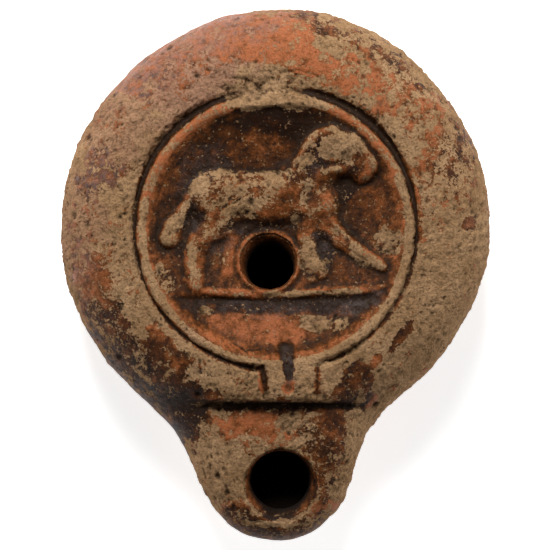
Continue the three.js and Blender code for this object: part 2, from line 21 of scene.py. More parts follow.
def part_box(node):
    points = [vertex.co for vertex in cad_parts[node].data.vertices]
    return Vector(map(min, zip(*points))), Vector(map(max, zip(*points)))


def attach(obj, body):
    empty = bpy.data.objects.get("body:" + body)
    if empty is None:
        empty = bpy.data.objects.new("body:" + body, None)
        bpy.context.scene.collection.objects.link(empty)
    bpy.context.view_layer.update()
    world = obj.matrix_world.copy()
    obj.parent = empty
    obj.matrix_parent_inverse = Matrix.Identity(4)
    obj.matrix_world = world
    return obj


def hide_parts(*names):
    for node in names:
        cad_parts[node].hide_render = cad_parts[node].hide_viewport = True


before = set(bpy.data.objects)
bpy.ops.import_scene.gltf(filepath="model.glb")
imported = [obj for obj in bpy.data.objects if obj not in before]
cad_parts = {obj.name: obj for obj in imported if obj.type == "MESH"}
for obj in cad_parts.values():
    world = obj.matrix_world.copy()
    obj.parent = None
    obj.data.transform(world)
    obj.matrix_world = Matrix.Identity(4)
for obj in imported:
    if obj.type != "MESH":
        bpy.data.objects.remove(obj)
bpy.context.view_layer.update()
MM = 0.001
LOW, HIGH = (np.array(corner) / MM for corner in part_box("oil_lamp"))
print("The lamp measures", (HIGH - LOW).round(1), "mm")

# %% [markdown]
# ## Camera
#
# The lamp lies on its base and is seen from straight above, nozzle at the bottom. A long lens
# keeps the walls from leaning outwards, so the outline shows as it is. The camera could look at
# the middle of the box, but the nozzle end needs a little less room than the back, so it aims
# slightly in front of that middle. The width of the view is set at the lamp's widest level.

# %% Camera
VIEW_WIDTH = 104.5
VIEW_CENTRE = (-0.1, -8.26)
SEAM_Z = 14.0            # widest level, where the two halves of the mould met
CAMERA_HEIGHT = 1000.0
SENSOR = 36.0

camera_data = bpy.data.cameras.new("camera")
camera_data.sensor_width = SENSOR
camera_data.lens = SENSOR * CAMERA_HEIGHT / VIEW_WIDTH
camera_data.clip_start, camera_data.clip_end = 0.05, 10.0
camera = bpy.data.objects.new("camera", camera_data)
camera.location = Vector((*VIEW_CENTRE, SEAM_Z + CAMERA_HEIGHT)) * MM
bpy.context.scene.collection.objects.link(camera)
bpy.context.scene.camera = camera
print("Lens", round(camera_data.lens), "mm")

# %% [markdown]
# ## The form, as heights over a plan
#
# A mould-made lamp has no undercuts: each half of the mould was lifted straight off. So the
# whole upper half is a height over a plan, and so is the lower half. That is why the form can
# be written as a few functions of x and y instead of being pushed about by hand. The first
# ones are small helpers for blends, rounded edges and distances.

# %% Helpers for blends and distances
def mix(a, b, t):
    return a + (b - a) * t


def ease(start, end, value):
    t = np.clip((value - start) / (end - start), 0, 1)
    return t * t * (3 - 2 * t)


def round_over(share, fullness):
    """A rounded edge: 0 at the edge, rising steeply to 1."""
    t = np.clip(share, 0, 1)
    return (1 - (1 - t) ** fullness) ** (1 / fullness)


def soft_min(a, b, blend):
    t = np.clip(0.5 + 0.5 * (b - a) / blend, 0, 1)
    return mix(b, a, t) - blend * t * (1 - t)


def soft_max(a, b, blend):
    return -soft_min(-a, -b, blend)


def hump(distance, half):
    return np.exp(-((distance / half) ** 2))


def bearing(x, y):
    """Degrees clockwise from +Y, seen from above."""
    return np.degrees(np.arctan2(x, y))


def near(angle, at, width):
    turn = (angle - at + 180) % 360 - 180
    return hump(turn, width)


def chain_distance(x, y, chain):
    """Distance to a chain of tapering round bars (x, y, radius) or a line of points (x, y).

    It is negative inside the bars."""
    bars = [(*point, 0)[:3] for point in chain]
    best = np.full(np.shape(x), np.inf)
    for (ax, ay, ar), (bx, by, br) in zip(bars, bars[1:] or bars):
        length2 = (bx - ax) ** 2 + (by - ay) ** 2
        t = np.clip(((x - ax) * (bx - ax) + (y - ay) * (by - ay)) / max(length2, 1e-9), 0, 1)
        away = np.hypot(x - mix(ax, bx, t), y - mix(ay, by, t)) - mix(ar, br, t)
        best = np.minimum(best, away)
    return best


def stripe(x, y, chain, half):
    """1 along a chain, fading out to both sides."""
    return hump(chain_distance(x, y, chain), half)


# %% [markdown]
# ## The plan
#
# Seen from above the lamp is a round body, pressed a little out of true, and a blunt oval
# nozzle. Clay was pared and smoothed where they meet, so their two distances are blended: the
# blend makes the hollow curve at the neck, a wider one on the left than on the right.

# %% Plan of the body and the nozzle
BODY_R = 40.9
OUT_OF_TRUE = [(12, 35, 1.6), (140, 36.5, -1.8), (-140, 36.5, -0.6)]    # bearing, width, by
NOZZLE_MIDDLE_Y = -38.5
NOZZLE_HALF = (15.6, 20.1)
NOZZLE_SQUARENESS = 2.2
NECK_LEFT, NECK_RIGHT = 11.9, 9.7


def body_distance(x, y):
    angle = bearing(x, y)
    pressed = sum(by * near(angle, at, width) for at, width, by in OUT_OF_TRUE)
    return np.hypot(x, y) - (BODY_R + pressed)


def nozzle_distance(x, y):
    half_x, half_y = NOZZLE_HALF
    u = np.abs(x) / half_x + 1e-9
    v = np.abs(y - NOZZLE_MIDDLE_Y) / half_y + 1e-9
    reach = (u**NOZZLE_SQUARENESS + v**NOZZLE_SQUARENESS) ** (1 / NOZZLE_SQUARENESS)
    slope = np.hypot(u / half_x, v / half_y) / np.hypot(u, v)
    return (reach - 1) / slope


def plan_distance(x, y):
    rightness = 1 / (1 + np.exp(-x / 3))
    blend = mix(NECK_LEFT, NECK_RIGHT, rightness)
    return soft_min(body_distance(x, y), nozzle_distance(x, y), blend)


def outline_radii(inset, steps=2880):
    """How far the outline, moved in by `inset`, lies from the axis, for evenly spaced bearings."""
    angle = np.linspace(0, 2 * np.pi, steps + 1)
    inside, outside = np.full(steps + 1, 20.0), np.full(steps + 1, 80.0)
    for _ in range(40):
        middle = (inside + outside) / 2
        is_in = plan_distance(middle * np.sin(angle), middle * np.cos(angle)) < -inset
        inside, outside = np.where(is_in, middle, inside), np.where(is_in, outside, middle)
    return angle, (inside + outside) / 2


WALL = 3.3
OUTLINES = {inset: outline_radii(inset) for inset in (0.0, WALL)}


def outline_radius(angle, inset=0.0):
    return np.interp(angle % (2 * np.pi), *OUTLINES[inset])


REACHES = OUTLINES[0.0][1]
print("Reach of the outline:", REACHES.min().round(1), "to", REACHES.max().round(1), "mm")

# %% [markdown]
# ## The top: disc, ring, groove and shoulder
#
# The potter's mould gave the top its profile: a disc that sinks and turns up to a lip, a raised
# ring round it, a groove, and a shoulder that rounds off to the widest line. Each is one term
# of a height. The ring and the groove aren't the same all round: they are deep at the back left
# and back right, faint at the front right, and rubbed away at the very back.

# %% Profile of the top
FILL_HOLE = {"rim": (-1.3, -5.75, 21.3), "inner": (-1.0, -7.0, 17.9), "rim_r": 5.2, "inner_r": 4.35}
WICK_HOLE = {"rim": (1.05, -48.1, 20.4), "inner": (0.86, -47.1, 16.8), "rim_r": 6.7, "inner_r": 5.45}
DISC_FLOOR_Z, DISC_LIP_R, DISC_LIP_Z, DISC_SWEEP = 21.1, 24.7, 25.7, 2.4
EXERGUE_DROP, EXERGUE_EDGE, EXERGUE_REACH = 0.8, (-11.6, -13.0), (24.0, 21.5)    # strip at the front
RING_INSIDE, RING_OUTSIDE, RING_RISE = (21.4, 24.4), (26.5, 25.6), 0.5
TURNING_FROM, TURNING_FADE, TURNING_AT = 21.8, 0.6, (-52, 30)    # fine lines left by the wheel
TURNING_PITCH, TURNING_HEIGHT = 0.9, 0.07
RING_FOOT, LEDGE_FOOT = (24.0, 25.5), (22.9, 23.8)    # radii where the wall of the disc climbs
SHOULDER_R, SHOULDER_Z, SHOULDER_RUN, SHOULDER_FULLNESS = 28.4, 26.3, 12.6, 2.05
RIM_TOP_Z, BAND_TOP_Z, CEILING_TOP_Z = SHOULDER_Z - 0.2, SHOULDER_Z + 0.1, SHOULDER_Z - 0.4
GROOVE_R, GROOVE_HALF, GROOVE_DEPTH = 26.45, 0.45, 0.9
BROAD_OUT, BROAD_HALF, BROAD_DEEPER = 0.6, 0.55, 0.8
BROAD_RIGHT, BROAD_LEFT = (38, 28), (-46, 30)         # bearing and width, in degrees
WORN_BACK, FAINT_FRONT, TIGHT_FRONT = (-3, 15), (125, 26), (-155, 28)
FAINT_BY, TIGHT_BY = 0.7, -0.5
WORN_R, WORN_HALF, WORN_DEPTH = 27.4, 2.2, 0.95
WORN_BREADTH = 0.7    # below 1, the worn stretch is broad with short ends


def disc_base(r):
    return mix(DISC_FLOOR_Z, DISC_LIP_Z, np.clip(r / DISC_LIP_R, 0, 1) ** DISC_SWEEP)


def ring_groove_depth(angle, r, worn):
    broad = np.minimum(near(angle, *BROAD_RIGHT) + near(angle, *BROAD_LEFT), 1)
    centre = GROOVE_R + BROAD_OUT * broad + TIGHT_BY * near(angle, *TIGHT_FRONT)
    half = GROOVE_HALF + BROAD_HALF * broad
    depth = GROOVE_DEPTH + BROAD_DEEPER * broad
    return depth * hump(r - centre, half) * (1 - worn) * (1 - FAINT_BY * near(angle, *FAINT_FRONT))


# %% [markdown]
# ## The walking lion
#
# The figure was cut once by a die maker and then blurred by every mould taken from another
# lamp, so it has soft edges and no sharp lines. It is made the way a modeller adds clay: limb
# by limb, each a chain of tapering bars with its own height, pressed together so that they
# melt into each other. Small ridges and hollows on top give the cheek, the brow and the flank.

# %% Lion and ground line
LION = [    # chain of (x, y, radius), height, width of the sloping edge
    ([(-11, 6.6, 5.1), (-4, 6.3, 5.1), (6.6, 6.2, 5)], 1.9, 4.2),  # trunk
    ([(-12.2, 6.6, 4.6)], 2.0, 3.8),  # rump
    ([(8, 5.4, 4.4)], 2.2, 3.6),  # shoulder
    ([(5.2, 8.6, 4.2), (9.6, 14.4, 5.2)], 2.0, 2.8),  # mane
    ([(11.3, 15.4, 4.5), (12.9, 15.4, 3.7)], 2.5, 3.2),  # head
    ([(13.4, 13.8, 3.8), (15.8, 12.1, 3.5)], 1.7, 2.4),  # muzzle
    ([(-10.6, 3.2, 3.8), (-12.2, 0.4, 3), (-13.6, -1.6, 2.2)], 1.8, 2.6),  # thigh
    ([(-14.4, -0.9, 1.9), (-15.1, -4.2, 2.2), (-15.3, -7.5, 2.1), (-15, -10, 1.7)], 1.3, 2.3),  # shank
    ([(-15.6, 6.6, 1.2), (-17.8, 3.2, 1.6), (-19.4, 0.6, 2.1), (-20, -1.2, 2.2)], 1.4, 1.9),  # tail
    ([(9.8, 1.2, 2.5), (12.6, -1.6, 2.1), (15.3, -3.7, 1.8), (18, -5.5, 1.5), (20, -6.6, 1.3)],
     1.3, 1.7),  # near foreleg
    ([(6.1, 0.8, 2.6), (5.9, -3.5, 2), (6.9, -5.9, 1.8), (8.7, -7.8, 1.5)], 1.0, 1.9),  # far foreleg
    ([(-8, 0, 1.2), (-8.6, -3.4, 1.5), (-9.2, -7.5, 1.4)], 0.4, 1.8),  # far hind leg
]
LION_JOIN, LION_FADE, LION_SOFTNESS = 1.6, (22.8, 24.6), 0.85
LIMB_REACH = 0.7    # how fast a limb's say fades beyond its own edge
GROUND_LINE = [(-17, -9.2, 0.7), (-15.2, -10.8, 0.8), (-11, -11.5, 0.9), (-3.7, -12.0, 1.0),
               (2.2, -12.2, 1.0), (8, -11.4, 1.0), (14, -11.1, 1.0), (18, -11.0, 0.9), (20.2, -10.2, 0.7)]
GROUND_HEIGHT, GROUND_EDGE, GROUND_SOFTNESS, GROUND_JOIN = 0.55, 1.2, 0.6, 0.3
ACCENTS = [    # x, y, reach in x, reach in y, height
    (15.2, 14.0, 1.2, 1.8, -0.2), (10.8, 12.5, 2.4, 0.5, -0.45), (11, 11.6, 1.4, 0.7, 0.35),
    (13.9, 9.2, 1.2, 1.4, -0.8), (-9.8, -2.6, 2.6, 1.2, -0.3), (-5.5, 3.4, 3.5, 2.2, -0.45),
    (3, 4, 2, 3.5, -0.35),
    (17.0, -8.6, 1.8, 0.4, -0.8), (7, -9.2, 0.9, 0.5, 0.5), (9.4, -3.4, 1.2, 2.6, -0.5),
    (-8.6, 9.0, 3.4, 1.2, 0.2), (0.4, 7.4, 1.8, 1.8, 0.25), (-11.4, 3.4, 1.4, 1.6, 0.3),
]
RIDGES = [    # chain of points, half width, rise: mane, brow and nose, foreleg, thigh, far foreleg
    ([(1.4, 11.8), (4.2, 13.6), (5.9, 16.4), (7.9, 18.5), (10.6, 19.5)], 0.7, 0.55),
    ([(15.0, 18.4), (16.5, 16.6), (17.2, 14.9), (18.5, 12.9), (18.9, 11.4)], 0.6, 0.4),
    ([(11.2, 1.4), (14, -1.5), (16.7, -3.7), (19.7, -5.4)], 0.5, 0.4),
    ([(-11.3, -1.8), (-8.6, -0.2)], 0.4, 0.3),
    ([(7.3, -2.6), (8, -5.6), (9.4, -7.3)], 0.4, 0.35),
]


def lion_height(x, y):
    distance, weights, height, edge = None, 0, 0, 0
    for chain, limb_height, limb_edge in LION:
        d = chain_distance(x, y, chain)
        distance = d if distance is None else soft_min(distance, d, LION_JOIN)
        weight = np.exp(-np.clip(d + 1, -3, 6) / LIMB_REACH)
        weights = weights + weight
        height = height + weight * limb_height
        edge = edge + weight * limb_edge
    share = np.clip(-distance * weights / edge, 0, 1)
    return height / weights * (1 - (1 - share) ** 2) ** LION_SOFTNESS


def relief_height(x, y):
    z = lion_height(x, y)
    for chain, half, rise in RIDGES:
        z = z + rise * stripe(x, y, chain, half)
    for cx, cy, reach_x, reach_y, rise in ACCENTS:
        z = z + rise * hump(x - cx, reach_x) * hump(y - cy, reach_y)
    ground = np.clip(-chain_distance(x, y, GROUND_LINE) / GROUND_EDGE, 0, 1)
    return soft_max(z, GROUND_HEIGHT * (1 - (1 - ground) ** 2) ** GROUND_SOFTNESS, GROUND_JOIN)


# %% [markdown]
# ## Front of the rim, nozzle and underside
#
# At the front the ring opens: its two ends turn down towards the nozzle beside a short open
# channel, and end at a straight step. The nozzle's top slopes away below the step. The lower
# half of the mould gave a plain bowl on a low flat base with one incised circle.

# %% Top, underside and the inside of the wall
CHANNEL = [(2.0, -21.9, 1.8), (2.3, -24.5, 1.35), (2.55, -27.6, 0.85)]
CHANNEL_END = [(2.5, -29.4, 1.45)]
CHANNEL_DEPTH, CHANNEL_EDGE, CHANNEL_START = 0.85, (0.4, -0.9), (-19.8, -22)
CHANNEL_END_DEPTH, CHANNEL_END_EDGE = 0.7, (0.3, -1.3)
SIDE_GROOVES = [    # line, half width, depth
    ([(-4.3, -25.8), (-2.5, -25.9), (-2.1, -28), (-1.7, -31.2)], 0.5, 1.2),
    ([(10, -24.3), (8, -25.2), (7.8, -28), (7.9, -31.2)], 0.5, 0.6),
]
BANDS_LEFT, BANDS_RIGHT = (-4.9, -3.6), (10.6, 9.0)      # flat bands beside the channel
BANDS_START, BANDS_INNER = (-23.4, -25.0), (23.2, 24.8)
STEP_Y, STEP_HALF, STEP_MIDDLE, STEP_SOFTNESS = -32.1, (12.5, 19.0), 0.8, (0.4, 5)
FOOT_BELOW, FOOT_HALF, FOOT_DEPTH, FOOT_END = 0.9, 0.6, 0.6, (17, 13)    # groove along the step
NOZZLE_TOP_Z, NOZZLE_SLOPE_Y = (22.7, 19.6), (-33, -57)
NOZZLE_EDGE, NOZZLE_EDGE_Y, NOZZLE_FULLNESS = (9.0, 5.5), (-30, -46), 2.1
NOZZLE_JOIN, SHOULDER_JOIN_Y = 1.6, (-26, -22)
COLLAR_RISE, COLLAR_GAP, COLLAR_HALF, COLLAR_SIDES = 0.45, 0.35, 0.4, (0.5, -2.5)
MOAT_DEPTH, MOAT_GAP, MOAT_HALF = 0.25, 1.3, 0.5    # the hollow round the collar
RELIEF_CLEARANCE = 1.4
CEILING_JOIN_Y, CEILING_EDGE, CEILING_EDGE_Y = (-31, -25), (4.5, 9), (-44, -28)
CEILING_FULLNESS = 2
BASE_R, BASE_RISE, BOWL_FULLNESS = 19.5, 1.0, 1.6
BASE_EDGE = (BASE_R - 0.1, BASE_R + 0.9)
BASE_CIRCLE_R, BASE_CIRCLE_HALF, BASE_CIRCLE_DEPTH = 15.6, 0.9, 0.7


def hole_distance(x, y, hole):
    return np.hypot(x - hole["rim"][0], y - hole["rim"][1]) - hole["rim_r"]


def disc_height(x, y, r):
    exergue = ease(*EXERGUE_EDGE, y) * ease(*EXERGUE_REACH, r)
    relief = relief_height(x, y) * (1 - ease(*LION_FADE, r))
    from_hole = hole_distance(x, y, FILL_HOLE)
    collar = COLLAR_RISE * hump(from_hole - COLLAR_GAP, COLLAR_HALF) * ease(*COLLAR_SIDES, y)
    collar = collar - MOAT_DEPTH * hump(from_hole - MOAT_GAP, MOAT_HALF)
    turned = near(bearing(x, y), *TURNING_AT) * ease(TURNING_FROM, TURNING_FROM + TURNING_FADE, r)
    turning = TURNING_HEIGHT * turned * np.sin(2 * np.pi * r / TURNING_PITCH)
    clear = ease(-RELIEF_CLEARANCE, 0, from_hole)
    return disc_base(r) - EXERGUE_DROP * exergue + relief * clear + collar + turning


def rim_height(x, y):
    r, angle = np.hypot(x, y), bearing(x, y)
    worn = near(angle, *WORN_BACK) ** WORN_BREADTH
    banded = ease(*BANDS_START, y) * ease(*BANDS_LEFT, x) * ease(*BANDS_RIGHT, x)
    foot, top = (mix(ring_r, ledge_r, worn) for ring_r, ledge_r in zip(RING_FOOT, LEDGE_FOOT))
    z = mix(disc_height(x, y, r), RIM_TOP_Z, ease(foot, top, r))
    ring = ease(*RING_INSIDE, r) * ease(*RING_OUTSIDE, r)
    z = z + RING_RISE * ring * (1 - worn) * (1 - banded)
    z = z - ring_groove_depth(angle, r, worn) * (1 - banded)
    z = z - WORN_DEPTH * worn * hump(r - WORN_R, WORN_HALF)
    z = mix(z, BAND_TOP_Z, banded * ease(*BANDS_INNER, r))
    for line, half, depth in SIDE_GROOVES:
        z = z - depth * stripe(x, y, line, half)
    z = z - CHANNEL_DEPTH * ease(*CHANNEL_EDGE, chain_distance(x, y, CHANNEL)) * ease(*CHANNEL_START, y)
    return z - CHANNEL_END_DEPTH * ease(*CHANNEL_END_EDGE, chain_distance(x, y, CHANNEL_END))


def nozzle_top(y):
    return mix(*NOZZLE_TOP_Z, ease(*NOZZLE_SLOPE_Y, y))


def top_height(x, y):
    in_body = np.maximum(-body_distance(x, y), 0)
    in_plan = np.maximum(-plan_distance(x, y), 0)
    body = SEAM_Z + (rim_height(x, y) - SEAM_Z) * round_over(in_body / SHOULDER_RUN, SHOULDER_FULLNESS)
    nozzle_edge = mix(*NOZZLE_EDGE, ease(*NOZZLE_EDGE_Y, y))
    nozzle = SEAM_Z + (nozzle_top(y) - SEAM_Z) * round_over(in_plan / nozzle_edge, NOZZLE_FULLNESS)
    joined = np.where(in_body > 0, soft_max(body, nozzle, NOZZLE_JOIN), nozzle)
    shoulder = mix(joined, body, ease(*SHOULDER_JOIN_Y, y))
    off_middle = np.abs(x - STEP_MIDDLE)
    softness = mix(*STEP_SOFTNESS, ease(*STEP_HALF, off_middle))
    foot = FOOT_DEPTH * hump(y - (STEP_Y - FOOT_BELOW), FOOT_HALF) * ease(*FOOT_END, off_middle)
    return mix(nozzle - foot, shoulder, ease(STEP_Y - softness, STEP_Y + softness, y))


def bowl_height(r, edge_r, foot_r, lowest):
    out = np.clip((r - foot_r) / (edge_r - foot_r), 0, 1)
    return mix(lowest, SEAM_Z, 1 - round_over(1 - out, BOWL_FULLNESS))


def underside_height(r, edge_r):
    bowl = bowl_height(r, edge_r, BASE_R, BASE_RISE)
    incised = BASE_CIRCLE_DEPTH * ease(0, 1, 1 - np.abs(r - BASE_CIRCLE_R) / BASE_CIRCLE_HALF)
    return bowl * ease(*BASE_EDGE, r) + incised


def ceiling_height(x, y):
    in_plan = np.maximum(-plan_distance(x, y) - WALL, 0)
    over_body = np.minimum(disc_base(np.hypot(x, y)), CEILING_TOP_Z)
    plateau = mix(nozzle_top(y), over_body, ease(*CEILING_JOIN_Y, y)) - WALL
    edge = mix(*CEILING_EDGE, ease(*CEILING_EDGE_Y, y))
    return SEAM_Z + (plateau - SEAM_Z) * round_over(in_plan / edge, CEILING_FULLNESS)


probe = np.array([[0.0, 5.0], [-1.0, -12.0], [30.0, 0.0], [0.5, -40.0]])
print("Heights at four places:", top_height(probe[:, 0], probe[:, 1]).round(2), "mm")

# %% [markdown]
# ## A net for the skin
#
# The skin could be a sheet remeshed out of a block, but then the carving would be sampled
# wherever the voxels fall. A spun net keeps its order instead: a short profile of vertices is
# spun once round into a flat pill, whose upper and lower faces meet at the rim. A vertex's
# place in the pill says which bearing and which share of the way out it stands for, and one
# function gives its place on the lamp. Sides that come out too long are cut in half until the
# net is fine enough to carry chips and pits.

# %% Spin the net
RIM_SHARE = 0.68         # share of the net that the disc and its rim take
SPOKES = 96
UPPER, LOWER = 1.0, -1.0
UPPER_RINGS = [k / 16 for k in range(1, 16)]
LOWER_RINGS = [k / 12 for k in range(1, 12)]


def spun_net():
    net = bmesh.new()
    profile = [(0, 0, UPPER)] + [(s, 0, UPPER) for s in UPPER_RINGS] + [(1, 0, 0)]
    profile += [(s, 0, LOWER) for s in reversed(LOWER_RINGS)] + [(0, 0, LOWER)]
    line = [net.verts.new(point) for point in profile]
    sides = [net.edges.new(pair) for pair in zip(line, line[1:])]
    bmesh.ops.spin(net, geom=line + sides, cent=(0, 0, 0), axis=(0, 0, 1), angle=2 * math.pi,
                   steps=SPOKES, use_merge=True)
    bmesh.ops.remove_doubles(net, verts=net.verts, dist=1e-6)
    bmesh.ops.recalc_face_normals(net, faces=net.faces)
    return net


def net_array(net):
    return np.array([vertex.co for vertex in net.verts])


class Skin:
    """Where the net's vertices go: the outer skin, or the reservoir's, one wall further in."""

    def __init__(self, inset, upper, lower):
        self.inset, self.upper, self.lower = inset, upper, lower
        self.rim_r = SHOULDER_R - inset

    def plan(self, net_points):
        """The place seen from above, its distance from the axis and the outline's there."""
        share = np.hypot(net_points[:, 0], net_points[:, 1])
        angle = np.arctan2(net_points[:, 0], net_points[:, 1])
        edge_r = outline_radius(angle, self.inset)
        outer = np.sin(np.clip((share - RIM_SHARE) / (1 - RIM_SHARE), 0, 1) * np.pi / 2)
        r = np.where(share < RIM_SHARE, self.rim_r * share / RIM_SHARE, mix(self.rim_r, edge_r, outer))
        return r * np.sin(angle), r * np.cos(angle), r, edge_r

    def net_place(self, x, y):
        """The way back: where in the net a place seen from above lies."""
        r, angle = np.hypot(x, y), np.arctan2(x, y)
        edge_r = outline_radius(angle, self.inset)
        outer = np.arcsin(np.clip((r - self.rim_r) / (edge_r - self.rim_r), 0, 1)) / (np.pi / 2)
        share = np.where(r < self.rim_r, RIM_SHARE * r / self.rim_r, mix(RIM_SHARE, 1, outer))
        return share * np.sin(angle), share * np.cos(angle)

    def places(self, net_points):
        x, y, r, edge_r = self.plan(net_points)
        is_upper, is_edge = net_points[:, 2] > 1e-6, np.abs(net_points[:, 2]) <= 1e-6
        z = np.where(is_upper, self.upper(x, y), self.lower(r, edge_r))
        return np.column_stack([x, y, np.where(is_edge, SEAM_Z, z)])


outer_skin = Skin(0.0, top_height, underside_height)
reservoir_skin = Skin(WALL, ceiling_height, lambda r, edge_r: bowl_height(r, edge_r, BASE_R - WALL, WALL))
net = spun_net()
print("The first net has", len(net.faces), "faces")
net.free()

# %% [markdown]
# ## Halve what is too long, and cut the holes
#
# `subdivide_edges` cuts only the sides that are handed to it, so the net grows fine where the
# carving is and stays coarse underneath. The holes are cut while the net is still coarse: the
# faces inside the circle go, and the edge that is left is drawn onto the circle. Cutting them
# with a Boolean would leave slivers along the rim, just where the light catches it.

# %% Refine a net
HALVINGS = 6
NEAR_HOLE, NEAR_MOUTH = 1.6, 1.3    # in hole radii: edges within this belong to the hole


def settle(net, skin, holes):
    """Brings new vertices back onto the outline and onto the holes' circles."""
    for vertex in net.verts:
        if abs(vertex.co.z) < 1e-6:
            vertex.co.xy = vertex.co.xy.normalized()
    loose = [vertex for vertex in net.verts if vertex.is_boundary]
    if not loose:
        return
    x, y, _, _ = skin.plan(np.array([vertex.co for vertex in loose]))
    for cx, cy, radius in holes:
        away = np.hypot(x - cx, y - cy)
        mine = away < radius * NEAR_HOLE
        u, v = skin.net_place(cx + (x - cx) * radius / away, cy + (y - cy) * radius / away)
        for i in np.nonzero(mine)[0]:
            loose[i].co.x, loose[i].co.y = u[i], v[i]


def refine(net, skin, longest_allowed, holes, rounds=HALVINGS):
    for _ in range(rounds):
        net.verts.index_update()
        places = skin.places(net_array(net))
        ends = np.array([[vertex.index for vertex in edge.verts] for edge in net.edges])
        length = np.linalg.norm(places[ends[:, 0]] - places[ends[:, 1]], axis=1)
        middle = (places[ends[:, 0]] + places[ends[:, 1]]) / 2
        long = np.nonzero(length > longest_allowed(middle))[0]
        if len(long) == 0:
            return
        edges = list(net.edges)
        bmesh.ops.subdivide_edges(net, edges=[edges[i] for i in long], cuts=1, use_grid_fill=True)
        settle(net, skin, holes)


def cut_hole(net, skin, hole):
    cx, cy, radius = hole
    net.verts.index_update()
    x, y, _, _ = skin.plan(net_array(net))
    inside = (np.hypot(x - cx, y - cy) < radius) & (net_array(net)[:, 2] > 1e-6)
    doomed = [face for face in net.faces if sum(inside[v.index] for v in face.verts) >= len(face.verts) / 2]
    bmesh.ops.delete(net, geom=doomed, context="FACES")
    settle(net, skin, [hole])
    rim = [vertex for vertex in net.verts if vertex.is_boundary]
    ring = {n for vertex in rim for edge in vertex.link_edges for n in edge.verts} - set(rim)
    bmesh.ops.smooth_vert(net, verts=list(ring), factor=0.5, use_axis_x=True, use_axis_y=True)


# %% Outer skin and reservoir
TOP_DETAIL, SHOULDER_DETAIL, SIDE_DETAIL, UNDER_DETAIL = 0.45, 0.52, 0.6, 1.1
CUTTING_DETAIL = 1.2
RESERVOIR_DETAIL, MOUTH_DETAIL = 2.4, 0.7


def outer_detail(places):
    x, y, z = places.T
    r = np.hypot(x, y)
    detail = mix(TOP_DETAIL, SHOULDER_DETAIL, ease(28, 31, r) * ease(-34, -28, y))
    detail = mix(detail, SIDE_DETAIL, ease(20, 17, z) * (z < 20.5))
    return np.where(z < SEAM_Z - 0.5, UNDER_DETAIL, detail)


def reservoir_detail(places):
    x, y, z = places.T
    mouth = np.minimum(*(np.hypot(x - h["inner"][0], y - h["inner"][1]) - h["inner_r"]
                         for h in (FILL_HOLE, WICK_HOLE)))
    return mix(MOUTH_DETAIL, RESERVOIR_DETAIL, ease(0.5, 4, mouth + np.maximum(SEAM_Z - z, 0)))


def skin_mesh(skin, holes, detail):
    net = spun_net()
    refine(net, skin, lambda p: np.maximum(detail(p), CUTTING_DETAIL), holes)
    for hole in holes:
        cut_hole(net, skin, hole)
    refine(net, skin, detail, holes)
    places = skin.places(net_array(net))
    for vertex, place in zip(net.verts, places):
        vertex.co = place
    return net


outer_holes = [(*h["rim"][:2], h["rim_r"]) for h in (FILL_HOLE, WICK_HOLE)]
inner_holes = [(*h["inner"][:2], h["inner_r"]) for h in (FILL_HOLE, WICK_HOLE)]
outer = skin_mesh(outer_skin, outer_holes, outer_detail)
reservoir = skin_mesh(reservoir_skin, inner_holes, reservoir_detail)
print("Outer skin:", len(outer.verts), "vertices;  reservoir:", len(reservoir.verts))

# %% [markdown]
# ## One closed wall
#
# On the real lamp the holes were cut through the leather-hard wall with a tube, from above. So
# the edge of each hole is drawn down ring by ring, leaning and tapering a little, until it
# meets the reservoir's ceiling, where `bridge_loops` sews it on. Then the whole wall is one
# closed surface, and recalculating its normals points all of it away from the clay.

# %% Join the skins and line the holes
OUTSIDE, RESERVOIR, TUBE = 0, 1, 2
TUBE_RINGS = 11


def add_part(lamp, part, zone):
    layer = part.verts.layers.int.new("zone")
    for vertex in part.verts:
        vertex[layer] = zone
    carrier = bpy.data.meshes.new("carrier")
    part.to_mesh(carrier)
    part.free()
    lamp.from_mesh(carrier)
    bpy.data.meshes.remove(carrier)


def mouth_sides(lamp, zone, centre, radius):
    layer = lamp.verts.layers.int["zone"]
    middle = Vector(centre)
    return [edge for edge in lamp.edges if edge.is_boundary and edge.verts[0][layer] == zone
            and (edge.verts[0].co.xy - middle).length < radius * NEAR_MOUTH]


def line_hole(lamp, hole):
    zone = lamp.verts.layers.int["zone"]
    rim_z = lamp.verts.layers.float.get("rim_z") or lamp.verts.layers.float.new("rim_z")
    rim, inner = Vector(hole["rim"]), Vector(hole["inner"])

    def axis(z):
        share = (z - inner.z) / (rim.z - inner.z)
        return inner.xy.lerp(rim.xy, share), mix(hole["inner_r"], hole["rim_r"], share)

    sides = mouth_sides(lamp, OUTSIDE, rim.xy, hole["rim_r"])
    for vertex in {v for edge in sides for v in edge.verts}:
        vertex[rim_z] = vertex.co.z
    for ring in range(1, TUBE_RINGS + 1):
        grown = bmesh.ops.extrude_edge_only(lamp, edges=sides)["geom"]
        sides = [item for item in grown if isinstance(item, bmesh.types.BMEdge) and item.is_boundary]
        for vertex in (item for item in grown if isinstance(item, bmesh.types.BMVert)):
            middle, _ = axis(vertex.co.z)
            spoke = (vertex.co.xy - middle).normalized()
            z = mix(vertex[rim_z], inner.z, ring / TUBE_RINGS)
            middle, radius = axis(z)
            vertex.co = (*(middle + spoke * radius), z)
            vertex[zone] = TUBE
    inner_sides = mouth_sides(lamp, RESERVOIR, inner.xy, hole["inner_r"])
    bmesh.ops.bridge_loops(lamp, edges=sides + inner_sides)


